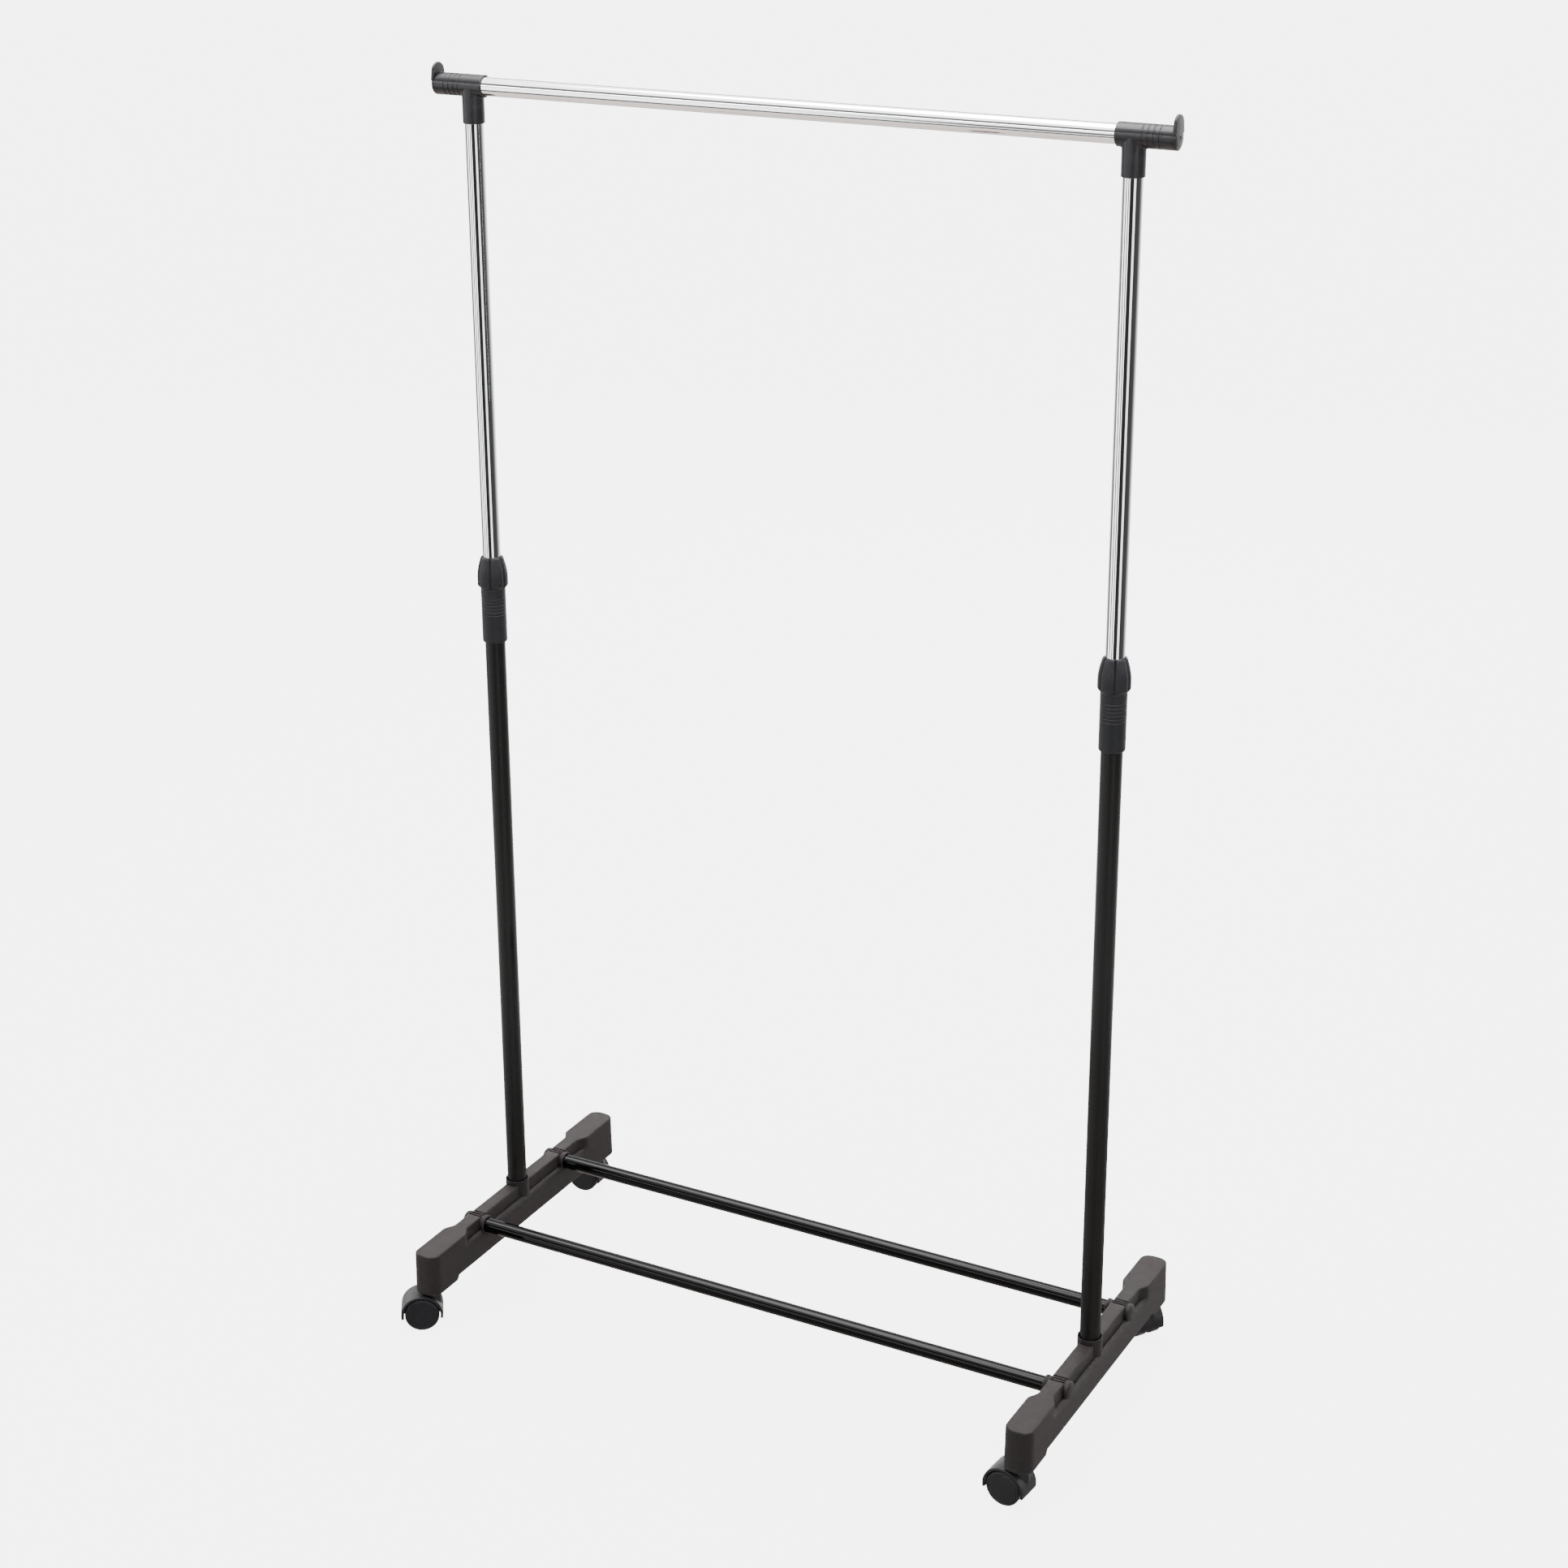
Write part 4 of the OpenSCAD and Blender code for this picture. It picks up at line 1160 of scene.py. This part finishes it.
class RackCasters(bpy.types.Operator):
    """Make the four hooded casters with their twin wheels"""

    bl_idname = "rack.casters"
    bl_label = "Casters"

    def execute(self, context):
        for corner in CORNERS:
            place, trail, axle_z = caster_frame(corner)
            hood = f"{corner}_caster_hood"
            half_w = WHEEL_INSET + WHEEL_WIDTH + 0.5
            form = caster_hood(trail, axle_z, axle_z, half_w, high(hood).z / MM)
            make_piece(f"{corner}_hood", moved(form, place), "caster_plastic", [hood])
            for label, way in (("inner", -1), ("outer", 1)):
                lay = Matrix.Rotation(math.radians(-90 * way), 4, "X")
                wheel = moved(caster_wheel(axle_z), at(0, 0, WHEEL_INSET * MM), lay,
                              at(trail * MM, 0, axle_z * MM), place)
                node = f"{corner}_{label}_wheel"
                make_piece(f"{node}_disc", wheel, "wheel_plastic", [node])
        return {"FINISHED"}


class RackHardware(bpy.types.Operator):
    """Finish the small inner parts that keep their own shape: stems, axles, bolts, bushes"""

    bl_idname = "rack.hardware"
    bl_label = "Hardware"

    def execute(self, context):
        slots = {row["node"]: row["material_slot"] for row in frame["record"]["subparts"]}
        for name, part in frame["nodes"].items():
            if part.hide_render:
                continue
            part.data.materials.clear()
            part.data.materials.append(make_finish(slots[name]))
        return {"FINISHED"}


# ---------- stage ----------

def softbox(name, spot, aim, width, height, power):
    """A soft rectangular lamp at spot, turned towards aim. Reflections show the room instead of it."""
    lamp = bpy.data.lights.new(name, "AREA")
    lamp.shape = "RECTANGLE"
    lamp.size, lamp.size_y = width, height
    lamp.energy = power
    holder = bpy.data.objects.new(name, lamp)
    holder.location = spot
    holder.rotation_euler = (Vector(aim) - Vector(spot)).to_track_quat("-Z", "Y").to_euler()
    holder.visible_glossy = False
    bpy.context.scene.collection.objects.link(holder)


class RackStage(bpy.types.Operator):
    """Set up the pale floor, the soft studio light and the camera"""

    bl_idname = "rack.stage"
    bl_label = "Studio"

    def execute(self, context):
        scene = context.scene
        form = bmesh.new()
        bmesh.ops.create_grid(form, x_segments=1, y_segments=1, size=40)
        mesh = bpy.data.meshes.new("studio_floor")
        form.to_mesh(mesh)
        form.free()
        floor = bpy.data.objects.new("studio_floor", mesh)
        mesh.materials.append(studio_floor("Studio Floor", colours().floor))
        scene.collection.objects.link(floor)
        self.world(scene)
        for lamp in SOFTBOXES:
            softbox(*lamp)
        self.camera(scene)
        return {"FINISHED"}

    @staticmethod
    def world(scene):
        """A white studio. Its mirror image holds dark flags for the chrome to show."""
        world = bpy.data.worlds.new("Studio")
        world.use_nodes = True
        tree = world.node_tree
        plain = tree.nodes["Background"]
        plain.inputs["Color"].default_value = (1, 1, 1, 1)
        plain.inputs["Strength"].default_value = ROOM_LIGHT
        place = add(tree, "ShaderNodeTexCoord")
        split = add(tree, "ShaderNodeSeparateXYZ")
        tree.links.new(place.outputs["Generated"], split.inputs["Vector"])
        around = maths(tree, "ARCTAN2", split.outputs["Y"], split.outputs["X"])
        share = remap(tree, around, -math.pi, math.pi)
        walls = tone_ramp(tree, share, [((180 + a) / 360, v) for a, v in ROOM_WALLS])
        height = remap(tree, split.outputs["Z"], -1, 1)
        layers = tone_ramp(tree, height, [((1 + h) / 2, v) for h, v in ROOM_LAYERS])
        belt = tone_ramp(tree, height, [((1 + h) / 2, v) for h, v in ROOM_BELT])
        mirrored = mix_colour(tree, belt, layers, walls)
        scaled = add(tree, "ShaderNodeBackground", {"Strength": ROOM_MIRROR})
        tree.links.new(mirrored, scaled.inputs["Color"])
        ray = add(tree, "ShaderNodeLightPath")
        choice = add(tree, "ShaderNodeMixShader")
        tree.links.new(ray.outputs["Is Glossy Ray"], choice.inputs["Fac"])
        tree.links.new(plain.outputs["Background"], choice.inputs[1])
        tree.links.new(scaled.outputs["Background"], choice.inputs[2])
        backdrop = add(tree, "ShaderNodeBackground", {"Strength": BACKDROP_GLOW})
        seen = add(tree, "ShaderNodeMixShader")
        tree.links.new(ray.outputs["Is Camera Ray"], seen.inputs["Fac"])
        tree.links.new(choice.outputs["Shader"], seen.inputs[1])
        tree.links.new(backdrop.outputs["Background"], seen.inputs[2])
        tree.links.new(seen.outputs["Shader"], tree.nodes["World Output"].inputs["Surface"])
        scene.world = world

    @staticmethod
    def camera(scene):
        """The camera stands to the right of the rack's front, a little above head height."""
        lens = bpy.data.cameras.new("camera")
        lens.sensor_width = SENSOR_WIDTH
        lens.lens = FOCAL_LENGTH
        lens.shift_x, lens.shift_y = CAMERA_SHIFT
        lens.clip_start, lens.clip_end = 0.05, 200
        view = bpy.data.objects.new("camera", lens)
        turn = (Matrix.Rotation(math.radians(CAMERA_YAW), 4, "Z")
                @ Matrix.Rotation(math.radians(90 - CAMERA_PITCH), 4, "X")
                @ Matrix.Rotation(math.radians(CAMERA_ROLL), 4, "Z"))
        view.matrix_world = at(*CAMERA_PLACE) @ turn
        scene.collection.objects.link(view)
        scene.camera = view


class RackPanel(bpy.types.Panel):
    """Builds the rack piece by piece"""

    bl_idname = "VIEW3D_PT_clothes_rack"
    bl_label = "Clothes Rack"
    bl_space_type = "VIEW_3D"
    bl_region_type = "UI"
    bl_category = "Clothes Rack"

    def draw(self, context):
        column = self.layout.column()
        for step in STEPS:
            column.operator(step.bl_idname)
        for group in (context.scene.rack_sizes, context.scene.rack_colours):
            box = self.layout.box()
            for key in group.__annotations__:
                box.prop(group, key)


STEPS = (RackStage, RackTubes, RackTees, RackCaps, RackLocks, RackFeet, RackCasters, RackHardware)
CLASSES = (RackSizes, RackColours, *STEPS, RackPanel)


def register():
    for made in CLASSES:
        bpy.utils.register_class(made)
    bpy.types.Scene.rack_sizes = PointerProperty(type=RackSizes)
    bpy.types.Scene.rack_colours = PointerProperty(type=RackColours)


def unregister():
    del bpy.types.Scene.rack_colours
    del bpy.types.Scene.rack_sizes
    for made in reversed(CLASSES):
        bpy.utils.unregister_class(made)


def main():
    register()
    for step in STEPS:
        getattr(bpy.ops.rack, step.bl_idname.split(".")[1])()


if __name__ == "__main__":
    main()
